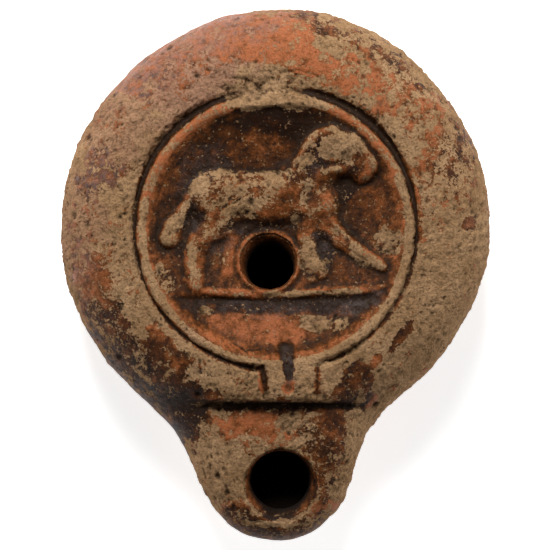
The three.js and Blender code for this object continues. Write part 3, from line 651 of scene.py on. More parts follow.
lamp_net = bmesh.new()
add_part(lamp_net, outer, OUTSIDE)
add_part(lamp_net, reservoir, RESERVOIR)
for hole in (FILL_HOLE, WICK_HOLE):
    line_hole(lamp_net, hole)
bmesh.ops.recalc_face_normals(lamp_net, faces=lamp_net.faces)
open_sides = sum(1 for edge in lamp_net.edges if not edge.is_manifold)
clay = lamp_net.calc_volume(signed=True) / 1000
print("Clay in the wall:", round(clay, 2), "cm3;  open sides:", open_sides)

lamp_mesh = bpy.data.meshes.new("oil_lamp_clay")
lamp_net.to_mesh(lamp_mesh)
lamp_net.free()
lamp_mesh.calc_loop_triangles()
print("Triangles:", len(lamp_mesh.loop_triangles))

# %% [markdown]
# ## Noise that stays put
#
# Wear, pits and flaking need chance, but the same chance on every run. A little lattice noise,
# worked out from whole-number hashes, gives every point in space a fixed value. Several sizes
# of it are added up: the large ones decide where a patch lies, the small ones fray its edge.

# %% Lattice noise
HASH = (374761393, 668265263, 1274126177)


def lattice(cell, seed):
    mixed = sum(cell[:, k] * HASH[k] for k in range(3)) + seed * 1442695041
    mixed = (mixed ^ (mixed >> 13)) * 1103515245 & 0x7FFFFFFF
    return ((mixed ^ (mixed >> 16)) & 0xFFFF) / 32767.5 - 1


def smooth_noise(points, size, seed):
    place = points / size + seed * 7.31
    cell = np.floor(place).astype(np.int64)
    rest = place - cell
    rest = rest**3 * (rest * (rest * 6 - 15) + 10)
    total = np.zeros(len(points))
    for corner in itertools.product((0, 1), repeat=3):
        weight = np.prod(np.where(corner, rest, 1 - rest), axis=1)
        total += weight * lattice(cell + np.array(corner), seed)
    return total


TURN = np.array(Matrix.Rotation(0.9, 3, Vector((1, 2, 3))))


def clouds(points, size, seed, layers=4, fading=0.55):
    """Layered noise, about -1 to 1, with its largest features about `size` mm across."""
    total, weight, weights = 0, 1.0, 0
    for layer in range(layers):
        total = total + weight * smooth_noise(points, size, seed + layer)
        weights += weight**2
        points, size, weight = points @ TURN, size / 2.1, weight * fading
    return total / math.sqrt(weights) * 1.6


# %% [markdown]
# ## Wear in the shape
#
# Now the perfect cast ages. A sculptor would scrape and stipple it; here each kind of wear is
# one function that moves vertices along their normals. First come the slow unevenness of hand-
# finished clay and the grain that shows where the slip is gone. Pits are where grit fell out or
# air was trapped. Cracks and chips are few and each has its own place.

# %% Vertices as arrays, and averages over neighbours
def mesh_array(items, name, width, kind=np.float64):
    values = np.empty(len(items) * width, kind)
    items.foreach_get(name, values)
    return values.reshape(-1, width)


count = len(lamp_mesh.vertices)
points = mesh_array(lamp_mesh.vertices, "co", 3)
zone = np.array([item.value for item in lamp_mesh.attributes["zone"].data])
sides = mesh_array(lamp_mesh.edges, "vertices", 2, np.int64)
links = np.bincount(sides.ravel(), minlength=count)


def blurred(values, rounds):
    """Each vertex takes the mean of its neighbours, again and again."""
    values = values.reshape(count, -1)
    for _ in range(rounds):
        total = [np.bincount(sides[:, 0], column[sides[:, 1]], count)
                 + np.bincount(sides[:, 1], column[sides[:, 0]], count) for column in values.T]
        values = np.column_stack(total) / links[:, None]
    return values.squeeze()


def normals_of(places):
    lamp_mesh.vertices.foreach_set("co", places.ravel())
    lamp_mesh.update()
    return mesh_array(lamp_mesh.vertices, "normal", 3)


TOP_Z, PLAIN_Z = (13, 15), (9, 15)    # heights where the top begins, and where the plain side ends
normals = normals_of(points)
x, y, z = points.T
r, angle = np.hypot(x, y), bearing(x, y)
outside = (zone == OUTSIDE).astype(float)
on_top = outside * ease(*TOP_Z, z)
to_holes = np.minimum(hole_distance(x, y, FILL_HOLE), hole_distance(x, y, WICK_HOLE))
print("Vertices:", count)

# %% [markdown]
# ## Where the slip is left
#
# The coat of slip is painted as a restorer would map it: brush strokes, each with a place, a
# length, a width, a turn and how much slip is left there. Later strokes cover earlier ones. A
# texture image would do the same with less thought, but strokes stay sharp at every size and
# can be moved. Each stroke's edge is frayed by noise, and the material frays it again, finer.

# %% Brush strokes
def paint(field, strokes, fray):
    """Strokes are (x, y, half length, half width, turn in degrees, value)."""
    for cx, cy, half_long, half_wide, turn, value in strokes:
        across, along = math.sin(math.radians(turn)), math.cos(math.radians(turn))
        u = ((x - cx) * along + (y - cy) * across) / half_long
        v = ((y - cy) * along - (x - cx) * across) / half_wide
        field = mix(field, value, ease(1.3, 0.7, np.hypot(u, v) + fray))
    return field


def paint_ring(field, arcs, fray):
    """Arcs are (inner radius, outer radius, bearing from, bearing to, value)."""
    for inner_r, outer_r, start, end, value in arcs:
        middle, half = (inner_r + outer_r) / 2, (outer_r - inner_r) / 2
        turn = np.abs((angle - (start + end) / 2 + 180) % 360 - 180) * np.pi / 180 * middle
        reach = np.maximum(np.abs(r - middle) / half, 1 + (turn - (end - start) / 360 * np.pi * middle) / 2.5)
        field = mix(field, value, ease(1.3, 0.7, reach + fray * 0.6))
    return field


SLIP_DISC = [    # on the disc and its lion
    (-8.5, 6.4, 6.6, 4.4, -6, 0.52), (-8.6, 5.4, 4.2, 2.2, -8, 0.38), (-5.5, 11, 7.4, 0.6, -1, 0.2),
    (-0.3, 9.3, 2.3, 1.8, 0, 0.34), (-14, 8.6, 2.4, 1.4, 35, 0.3), (-18.9, 1.2, 4.4, 1.0, 58, 0.25),
    (6.1, 6.7, 1.3, 1.9, 0, 0.25), (3.6, 2.1, 1.1, 0.9, 0, 0.25), (4.4, 12.3, 2.6, 1.0, 40, 0.42),
    (9, 6, 2.2, 3, 0, 0.8), (0, 3.5, 3, 2.2, 0, 0.85), (14.5, 10.6, 3.2, 2.2, 30, 0.95),
    (-12.5, 1.4, 2.4, 2.6, 0, 0.85), (16.9, 15.2, 0.8, 2.2, 20, 0.8),
    (12.7, 15.8, 3.4, 2.8, 0, -0.2), (11.1, 11.7, 1.4, 0.6, 0, 0.0), (-15.6, -5.2, 0.9, 4.0, 4, 0.4),
    (13.2, -1.2, 4.5, 0.6, -36, 0.5), (20.9, -2.0, 2.7, 2.4, 40, 0.26), (16.1, -5.8, 2.4, 1.4, -30, 0.25),
    (7.6, -6.6, 2.4, 2.6, 0, 0.45), (5.6, -3.8, 1.1, 2.2, 0, 0.4), (8, -11.7, 10, 0.7, 2, 0.25),
    (-12.9, -14.9, 1.5, 1.0, 0, 0.0), (6.4, -17.2, 2.9, 1.5, -15, 0.0), (12, -17.6, 2.0, 1.2, 20, 0.35),
    (-20.6, -9.5, 3.4, 1.4, 112, 0.4), (-10.8, -5.6, 2.6, 3.2, 0, 0.8), (-4.7, 5.4, 1.9, 1.2, 0, 0.1),
]
SLIP_SHOULDER = [
    (-9.2, 36.8, 14, 4.0, 12, 0.8), (-23.7, 31, 9, 4, 38, 0.72), (-14, 31.5, 9, 4, 25, 0.5),
    (-6.5, 35.5, 6, 2, 10, 0.75),
    (11, 32.5, 13, 7, -28, 0.58), (2, 35, 8, 4.2, 0, 0.72), (4, 31.5, 7, 2.2, -5, 0.8),
    (10.5, 35, 3.2, 1.5, -20, 0.2),
    (14.8, 38, 3, 1.3, -25, 0.2), (21, 27.5, 6, 6, -40, 0.5), (29.9, 16.1, 4, 8, 0, 0.48),
    (34, 13, 3.4, 8.5, 12, 0.5), (27, 24, 5, 5, 0, 0.48), (33.5, -4, 5, 8, 0, 0.08), (31, 5, 3, 4, 0, 0.35),
    (29, -15, 7, 8, 0, 0.05), (36.5, 1.5, 1.1, 1.3, 0, 1.0), (-29.4, 19.6, 6, 5, 20, 0.25),
    (-33.2, 10.6, 3.8, 5, -20, 0.62), (-36.6, -1, 3, 7, 0, 0.36), (-33.3, -9.5, 4.2, 7.5, 15, 0.7),
    (-30.5, -17, 6, 5, -40, 0.62), (-23, -27, 13, 6.5, -42, 0.66), (-20.8, -22.6, 9, 2.4, -44, 0.85),
    (-27.2, -12.5, 2.2, 8, 20, 0.25),
    (-14.5, -28.5, 5.5, 3.6, -35, 0.85), (23.6, -20.1, 3.2, 0.9, 52, 1.0), (14.5, -28.8, 4.4, 2.8, 30, 0.82),
    (18.8, -24.5, 1.5, 0.9, 45, 0.8), (17, -31.5, 3, 2.2, 0, 0.75), (3, -28, 7, 3, 0, 0.1),
    (-10, -27.8, 6, 2.2, -15, 0.2), (-5, 28.5, 9, 2.4, 8, 0.1), (9.5, 25.6, 4, 1.2, -20, 0.2),
    (-17.5, -35.5, 3.5, 6, 10, 0.85), (-8.6, -25.8, 4.5, 2, -38, 0.15),
]
SLIP_NOZZLE = [
    (0.8, -33.3, 13, 1.4, 0, 1.0), (-3.6, -36.8, 9, 4.2, 0, 0.62), (-4.6, -35.6, 6.5, 1.6, 0, 0.78),
    (2.4, -36.2, 2.4, 1.8, -35, 0.0), (9.0, -40.5, 4.2, 9, -8, 0.62), (10.4, -38, 2, 5, -8, 0.9),
    (-11, -45, 2.6, 8, 10, 0.2), (14.4, -42, 1.2, 9, -8, 0.08), (0, -57, 12, 3.4, 0, 0.78),
    (-8, -53.4, 3, 2.4, 40, 0.66), (8.4, -53, 3.4, 2, 30, 0.66), (0, -55.4, 6.8, 0.6, 0, 0.1),
]
SLIP_RINGS = [
    (24.3, 26.3, -180, 180, 0.2), (24.0, 26.2, 22, 66, 0.85), (24.0, 26.2, -76, -20, 0.85),
    (26.1, 27.4, -78, -20, 0.92), (26.2, 27.8, 12, 95, 0.92), (26.2, 26.9, 95, 140, 0.6),
    (25.5, 26.7, 190, 290, 0.85), (23.2, 26.2, -16, 16, 0.05),
]
SLIP_CHANNELS = [(2.4, -25.8, 1.2, 3.2, 0, 0.9), (2.5, -29.3, 1.3, 1.3, 0, 0.85),
                 (-2.5, -28.2, 0.7, 2.9, 8, 0.8), (7.9, -28, 0.6, 2.8, 0, 0.7)]

DISC_R = 24.3
SLIP_ON_DISC, SLIP_ELSEWHERE, SLIP_IN_HOLES = 1.0, 0.16, 0.95
RUBBED_OFF_LION = 0.26
fray = clouds(points, 2.6, 11) * 0.28
on_lion = ease(0.3, 1.2, relief_height(x, y) * (r < LION_FADE[1]))
slip = np.where(r < DISC_R, SLIP_ON_DISC - RUBBED_OFF_LION * on_lion, SLIP_ELSEWHERE)
slip = paint(slip, SLIP_SHOULDER + SLIP_NOZZLE + SLIP_DISC, fray)
slip = paint_ring(slip, SLIP_RINGS, fray)
slip = paint(slip, SLIP_CHANNELS, fray)
underneath = 0.35 + 0.45 * clouds(points, 16, 31, 3)
slip = mix(np.clip(underneath, 0, 0.85), slip, ease(*PLAIN_Z, z))
slip = np.where(zone == TUBE, SLIP_IN_HOLES, np.where(zone == RESERVOIR, 0.0, slip))
print("Share of the outside that keeps its slip:", round(float((slip[zone == OUTSIDE] > 0.5).mean()), 2))

# %% [markdown]
# ## How dark the slip fired, and painted shadows
#
# Slip that got air in the kiln turned orange, and where the flame reached it without air it
# stayed brown to black. The dark map also paints shadows under the lion, below the ground line,
# below the step and under the back of the rim. Thick slip has a glossy violet bloom, painted
# into its colour as a violet-grey sheen, a painted reflection. These are two more painted maps.

# %% Tones of the slip, with painted shadows and a painted sheen
# Strokes of dark slip. Some are painted shadow: under the chin (13.4, 8), under the belly (-3.5, 1), between
# the forelegs (9.2, -3.6), under the tail (-15.4, 2.6) and below its tip (-19.8, -3.2), and the band below
# the ground line (0, -14.2). Some are dark slip and painted shadow together: the top of the disc under the
# rim (0, 20.3) and the band below the step (0.8, -33.2). The front of the nozzle's tip (0, -56) is dark slip
# and painted shade.
DARK_SLIP_AND_SHADOW = [
    (0, 20.3, 11.5, 3.4, 0, 0.97), (-13, 14, 8, 5, 45, 0.72), (-3, 17.2, 4, 2.2, 0, 0.5),
    (7, 14, 2.0, 5.2, -35, 0.9), (18.5, 8.5, 3.6, 5, 10, 0.45), (13.4, 8, 1.6, 4.6, -25, 0.95),
    (-3.5, 1.0, 8.5, 1.5, 8, 0.9), (9.2, -3.6, 1.8, 3.4, 15, 0.9), (-15.4, 2.6, 1.8, 2.4, 0, 0.85),
    (-19.8, -3.2, 2.4, 1.2, 0, 0.7), (0, -14.2, 15, 1.5, 0, 0.85), (-4, -18.6, 10, 2.8, -4, 0.1),
    (17, -13, 4, 1.8, 32, 0.75), (-9, -5, 4, 4.2, 0, 0.32), (19, -4.5, 3, 3, 0, 0.3),
    (11, 30, 12, 6, -30, 0.15), (23, 33, 11, 3.4, -38, 0.75), (12.4, 37.9, 8, 2.3, -20, 0.75),
    (33.5, 15, 4, 9, 5, 0.72), (29, 21, 4, 5, -30, 0.4), (-9, 35.5, 12, 3.4, 12, 0.25),
    (-33.2, 10.6, 4, 6, -20, 0.6), (-33.3, -9.5, 4.5, 8, 15, 0.5), (-30, -17.5, 6, 5, -40, 0.75),
    (-23, -27, 13, 7, -42, 0.9), (-13, -30, 5, 3, -30, 0.9), (23.6, -20.1, 4, 2, 52, 0.9),
    (14.5, -28.8, 5, 4, 30, 0.8), (36.5, 1.5, 2, 2, 0, 0.7), (0.8, -33.2, 14, 1.6, 0, 0.85),
    (-3.6, -37.2, 9, 3.0, 0, 0.14), (9.3, -41, 4.6, 9.5, -8, 0.74), (0, -56, 12, 3.4, 0, 0.95),
    (2.4, -25.2, 1.4, 3.2, 0, 0.8), (2.5, -29.4, 1.4, 1.4, 0, 0.1), (-17, -35.5, 3.6, 6, 0, 0.95),
]
# Arcs of slip tone; over the groove (radii 26.1 to 27.8) they are dark slip and painted shade.
DARK_RINGS = [
    (26.1, 27.4, -78, -20, 0.7), (26.2, 27.8, 12, 60, 0.85), (26.2, 27.6, 60, 95, 0.6),
    (24.2, 26.0, 22, 88, 0.22), (24.0, 25.8, -130, -20, 0.2), (25.5, 26.7, 190, 290, 0.6),
]
# Strokes where a violet-grey sheen, a painted reflection, is mixed into the slip's colour.
VIOLET_SHEEN_STROKES = [
    (-33.2, 10.6, 3.8, 6, -20, 0.85), (-24.5, 29.6, 9, 5, 35, 0.9), (-14, 36, 12, 3.4, 15, 0.8),
    (0, -14.4, 14, 1.7, 0, 0.4), (17, -13, 4, 2.2, 30, 0.85), (-14, 12, 6, 4, 40, 0.45),
    (9.2, -3.6, 1.8, 3, 15, 0.7), (2.4, -25.8, 1.4, 3, 0, 0.7), (-36.5, -2, 3, 7, 0, 0.5),
    (-15.2, 2.4, 1.6, 2.2, 0, 0.6), (-9.5, -2, 3.5, 1.6, 25, 0.6), (8, 12.5, 1.5, 3, -35, 0.4),
]
PINK = [(-16, 31, 18, 8, 32, 1.3), (-30, 20, 8, 8, 0, 0.8), (-37, 0, 5, 12, 0, 0.6), (-7, -19, 12, 3, 0, 0.5)]

DARK_ON_DISC, DARK_ELSEWHERE = 0.5, 0.35
slip_dark_and_shade = np.where(r < DISC_R, DARK_ON_DISC, DARK_ELSEWHERE)
slip_dark_and_shade = paint(slip_dark_and_shade, DARK_SLIP_AND_SHADOW, fray)
slip_dark_and_shade = paint_ring(slip_dark_and_shade, DARK_RINGS, fray)
slip_dark_and_shade = mix(0.55 + 0.3 * clouds(points, 12, 37, 3), slip_dark_and_shade, ease(*PLAIN_Z, z))
violet_sheen = paint(np.zeros(count), VIOLET_SHEEN_STROKES, fray) * ease(*PLAIN_Z, z)
pink = paint(np.zeros(count), PINK, fray)

# %% Clay grain, pits, cracks and chips
LUMPS, LUMP_SIZE = 0.16, 7.0
GRAIN, GRAIN_SIZE = 0.12, 1.2
FIBRE, FIBRE_LENGTH, FIBRE_WIDTH = 0.10, 3.5, 0.7
SLIP_THICKNESS = 0.05
HOLE_EDGE, HOLE_GRAIN = 0.55, 0.06

bare = ease(0.62, 0.38, slip + 0.5 * fray)
flow = np.column_stack([(x + 0.7 * y) / FIBRE_LENGTH, (y - 0.7 * x) / FIBRE_WIDTH, z / FIBRE_WIDTH])
fibre = 1 - 2 * np.abs(clouds(flow, 1.0, 51, 3))
rough_back = near(angle, -3, 17) * hump(r - 26.4, 3.2)
shape = LUMPS * clouds(points, LUMP_SIZE, 41, 2)
shape += GRAIN * clouds(points, GRAIN_SIZE, 43, 3) * (0.25 + 0.75 * bare)
shape += FIBRE * fibre * bare * (0.4 + 0.6 * ease(-0.3, 0.5, clouds(points, 9, 61, 2)))
shape -= SLIP_THICKNESS * bare
shape += rough_back * (0.28 * clouds(points, 1.5, 71, 3) + 0.2 * clouds(points, 3.2, 72, 2))
shape *= outside
from_rim = np.clip(1 - to_holes / HOLE_EDGE, 0, 1)
shape -= outside * HOLE_EDGE * (1 - np.sqrt(1 - from_rim**2)) * ease(*TOP_Z, z)
shape += np.where(zone == TUBE, HOLE_GRAIN * clouds(points, 1.1, 81, 3), 0)

CRACKS = [    # line and depth
    ([(-7.7, -21.2), (-5.6, -22.5), (-2.9, -21.9)], 0.28),
    ([(1.2, 29.6), (3.6, 30.2), (6.2, 29.9), (8.3, 28.9)], 0.25),
    ([(12.7, -2.8), (17.3, -5.8)], 0.2),
    ([(7.7, -45.2), (8.4, -47.5), (8.0, -50.5)], 0.18),
    ([(-12, 30.5), (-9, 28.7), (-5.5, 28.6)], 0.25),
    ([(-4, 27.6), (-1.5, 26.3), (1.5, 26.9)], 0.3),
    ([(18.3, 26.2), (20.5, 24.0), (21.8, 21.8)], 0.2),
]
CRACK_HALF = 0.22
wander = 0.25 * clouds(points, 1.6, 91, 2)
for line, depth in CRACKS:
    shape -= on_top * depth * stripe(x + wander, y - wander, line, CRACK_HALF)

PITS = [    # x, y, radius, depth
    (-38.1, 2.9, 0.95, 0.5), (-31.6, 17.3, 0.45, 0.4), (-14.7, 29.2, 0.75, 0.4), (-20.6, 2.3, 0.5, 0.3),
    (22.2, 17.5, 0.5, 0.35), (-20, 34.9, 0.9, 0.45), (-25.5, 29.2, 0.55, 0.35), (-35.6, 17.9, 0.8, 0.5),
    (29.2, 26.9, 0.6, 0.4), (-29.4, -23.9, 0.8, 0.5), (-10.5, -33.4, 0.6, 0.4), (-14.4, -30.6, 0.9, 0.6),
    (19.1, -33, 0.9, 0.6), (3, -34.6, 0.7, 0.5), (-10.9, -46.3, 0.8, 0.45), (-9.2, -49.5, 0.7, 0.4),
    (-12.3, -42.5, 0.5, 0.35), (-4.6, 5.3, 0.9, 0.5), (-31, -28, 0.7, 0.45), (33.5, -27, 0.5, 0.35),
    (16.8, -9.6, 0.4, 0.3), (-1.5, 8.8, 0.4, 0.3), (-12, 9.6, 0.4, 0.3), (10.9, 7.2, 0.45, 0.3),
]
SMALL_PITS, CRATERS = 1100, 110
chance = np.random.default_rng(7)
tree = kdtree.KDTree(count)
for i, place in enumerate(points):
    tree.insert(Vector(place), i)
tree.balance()
# How deep each pit is; the material darkens the pits with soil and painted shade.
pits = np.zeros(count)


def sink_pit(middle, radius, depth, edge=0.0):
    """A round-bottomed pit; `edge` throws up a low ring round it."""
    for _, i, away in tree.find_range(middle, radius * 2.2):
        reach = away / radius
        hollow = max(0.0, 1 - reach**2)
        shape[i] += outside[i] * (edge * math.exp(-(((reach - 1.15) / 0.3) ** 2)) - depth * hollow)
        pits[i] = max(pits[i], hollow * min(depth / 0.3, 1) * outside[i])


for px, py, radius, depth in PITS:
    here = int(np.argmin(np.hypot(x - px, y - py) + 50 * (1 - on_top)))
    sink_pit(Vector(points[here]), radius, depth)
outer_ids = np.nonzero((zone == OUTSIDE) & (to_holes > 1.5))[0]
for i in chance.choice(outer_ids, SMALL_PITS):
    size = chance.uniform(0.28, 0.5) * (1 + 0.5 * (chance.random() < 0.12))
    if bare[i] + 0.35 * chance.random() > 0.5:
        sink_pit(Vector(points[i]), size, chance.uniform(0.12, 0.34))
disc_ids = np.nonzero((zone == OUTSIDE) & (r < 23) & (z > 15) & (to_holes > 1.0))[0]
for i in chance.choice(disc_ids, CRATERS):
    sink_pit(Vector(points[i]), chance.uniform(0.3, 0.42), chance.uniform(0.12, 0.24), 0.07)

CHIPPED_BACK, CHIP_DEPTH = (-22, 28), 0.55
chipped = ease(0.55, 0.95, clouds(points, 3.0, 101, 2)) * hump(z - SEAM_Z, 5) * outside
chipped *= 0.25 + 0.75 * near(angle, *CHIPPED_BACK)
shape -= CHIP_DEPTH * chipped
points = points + normals * shape[:, None]
normals = normals_of(points)
print("Deepest wear:", round(float(-shape.min()), 2), "mm;  highest:", round(float(shape.max()), 2), "mm")

# %% [markdown]
# ## Soil and painted shade in the hollows
#
# Two thousand years of soil settle in grooves and rub off ridges, and the hollows are also
# painted darker as painted shade. How hollow a place is can be read from the mesh: blur the
# vertices, and a hollow lies below its blurred self. That is baked into an attribute instead of an
# ambient-occlusion node.

# %% Hollows, ridges and the attributes
FINE_BLUR, BROAD_BLUR = (5, 0.10), (60, 0.45)    # rounds, and the depth that counts as full
# Where painted shade begins down the holes, from the nozzle to the back, and how far it runs to full.
HOLE_SHADE_Z, HOLE_SHADE_Y, HOLE_SHADE_RUN = (19.6, 20.6), (-40, -10), 2.2


def hollowness(rounds, depth):
    below = ((blurred(points, rounds) - points) * normals).sum(axis=1)
    return np.clip(below / depth, -1, 1)


fine_hollow, broad_hollow = hollowness(*FINE_BLUR), hollowness(*BROAD_BLUR)
# Soil and painted shade: the material darkens the hollows by this mask.
hollow_shade_and_soil = np.clip(0.55 * np.clip(broad_hollow, 0, 1) + 0.45 * np.clip(fine_hollow, 0, 1), 0, 1) * outside
ridge = np.clip(-0.6 * broad_hollow - 0.4 * fine_hollow, 0, 1) * outside
slip = slip - 0.35 * ridge * (r < 28) + 0.15 * np.clip(broad_hollow, 0, 1) * on_top
# Painted shade: the slip is made darker in the hollows and lighter on the ridges.
slip_dark_and_shade = slip_dark_and_shade + on_top * (0.26 * broad_hollow + 0.12 * fine_hollow)
# Painted shade: the reservoir's inside is coloured near black, and the hole walls grow darker the deeper they
# go.
inside_shade = np.where(zone == RESERVOIR, 1.0, 0.0)
tube_depth = np.clip((mix(*HOLE_SHADE_Z, ease(*HOLE_SHADE_Y, y)) - z) / HOLE_SHADE_RUN, 0, 1)
inside_shade = np.where(zone == TUBE, tube_depth, inside_shade)

for name, values in {"slip": slip, "slip_dark_and_shade": slip_dark_and_shade, "violet_sheen": violet_sheen, "pink": pink, "hollow_shade_and_soil": hollow_shade_and_soil,
                     "pits": pits, "inside": inside_shade}.items():
    attribute = lamp_mesh.attributes.new(name, "FLOAT", "POINT")
    attribute.data.foreach_set("value", values.astype(np.float32))
lamp_mesh.vertices.foreach_set("co", (points * MM).ravel())
lamp_mesh.shade_smooth()
lamp_mesh.update()
for name in ("zone", "rim_z"):
    lamp_mesh.attributes.remove(lamp_mesh.attributes[name])
lamp = bpy.data.objects.new("oil_lamp_clay", lamp_mesh)
bpy.context.scene.collection.objects.link(lamp)

# %% [markdown]
# ## Clay and slip as one material
#
# The clay and its slip are one surface, so they are one material: two colours, two kinds of
# gloss and two kinds of grain, and a mask that says which shows. The painted attributes give
# the mask broadly; noise in Object coordinates frays it down to specks finer than the mesh.

# %% Small helpers for node trees
class Nodes:
    """Adds nodes to a material and links them by name."""

    def __init__(self, material):
        material.use_nodes = True
        self.tree = material.node_tree
        self.tree.nodes.clear()

    def add(self, kind, inputs=None, **settings):
        node = self.tree.nodes.new(kind)
        for name, value in settings.items():
            setattr(node, name, value)
        for name, value in (inputs or {}).items():
            if isinstance(value, bpy.types.NodeSocket):
                self.tree.links.new(value, node.inputs[name])
            else:
                node.inputs[name].default_value = value
        return node

    def attribute(self, name):
        return self.add("ShaderNodeAttribute", attribute_name=name).outputs["Fac"]

    def noise(self, size, detail=3.0, roughness=0.5, vector=None, distortion=0.0):
        inputs = {"Vector": vector or self.place, "Scale": 1 / (size * MM), "Detail": detail,
                  "Roughness": roughness, "Distortion": distortion}
        return self.add("ShaderNodeTexNoise", inputs).outputs["Fac"]

    def maths(self, operation, a, b=0.0, c=0.0, clamp=False):
        inputs = {0: a, 1: b, 2: c}
        return self.add("ShaderNodeMath", inputs, operation=operation, use_clamp=clamp).outputs[0]

    def swing(self, noise, gain, middle):
        """A noise that swings to both sides of a middle value."""
        return self.maths("MULTIPLY_ADD", self.maths("SUBTRACT", noise, 0.5), gain, middle)

    def stepped(self, value, start, end, low=0.0, high=1.0):
        inputs = {"Value": value, "From Min": start, "From Max": end, "To Min": low, "To Max": high}
        return self.add("ShaderNodeMapRange", inputs, interpolation_type="SMOOTHSTEP").outputs[0]

    def blend(self, factor, a, b, how="MIX"):
        inputs = {0: factor, 6: a, 7: b}
        return self.add("ShaderNodeMix", inputs, data_type="RGBA", blend_type=how).outputs[2]

    def ramp(self, value, *stops):
        node = self.add("ShaderNodeValToRGB", {"Fac": value})
        elements = node.color_ramp.elements
        while len(elements) < len(stops):
            elements.new(0.5)
        for element, (position, colour) in zip(elements, stops):
            element.position, element.color = position, (*colour, 1)
        return node.outputs["Color"]


# %% [markdown]
# ## Colours
#
# Fired lamp clay is buff with grey and pink in it. Thin slip is orange, thicker slip amber and
# brown, and the thickest nearly black. Each is a short ramp read by noise, so no patch is flat.

# %% Clay-and-slip material
CLAY_TONES = (0.32, (0.290, 0.166, 0.078)), (0.68, (0.420, 0.256, 0.135))
GRAIN_SHADES = (0.30, (0.42, 0.40, 0.37)), (0.5, (0.95, 0.94, 0.92)), (0.68, (1.22, 1.22, 1.22))
SLIP_TONES = ((0.05, (0.310, 0.094, 0.032)), (0.36, (0.150, 0.044, 0.0090)),
              (0.62, (0.060, 0.0175, 0.0032)), (0.92, (0.015, 0.0050, 0.0018)))
SHEEN_SHADES = (0.3, (0.7, 0.7, 0.7)), (0.7, (1.3, 1.3, 1.3))
# The second colour is a painted reflection: the violet-grey sheen of glossy slip.
PINK_CLAY, PAINTED_VIOLET_SHEEN = (0.330, 0.170, 0.110, 1), (0.085, 0.052, 0.044, 1)
# Near-black colours for soil and painted shade in the hollows and the pits, and painted shade for the inside.
SOIL_AND_SHADE_COLOUR, PIT_SOIL_AND_SHADE, INSIDE_SHADE_COLOUR = (0.026, 0.013, 0.006, 1), (0.045, 0.024, 0.012, 1), (0.010, 0.006, 0.004, 1)
SPECULAR_CLAY, SPECULAR_SLIP, SPECULAR_BLOOM = 0.05, 0.12, 0.25
BUMP_DISTANCE = 0.6


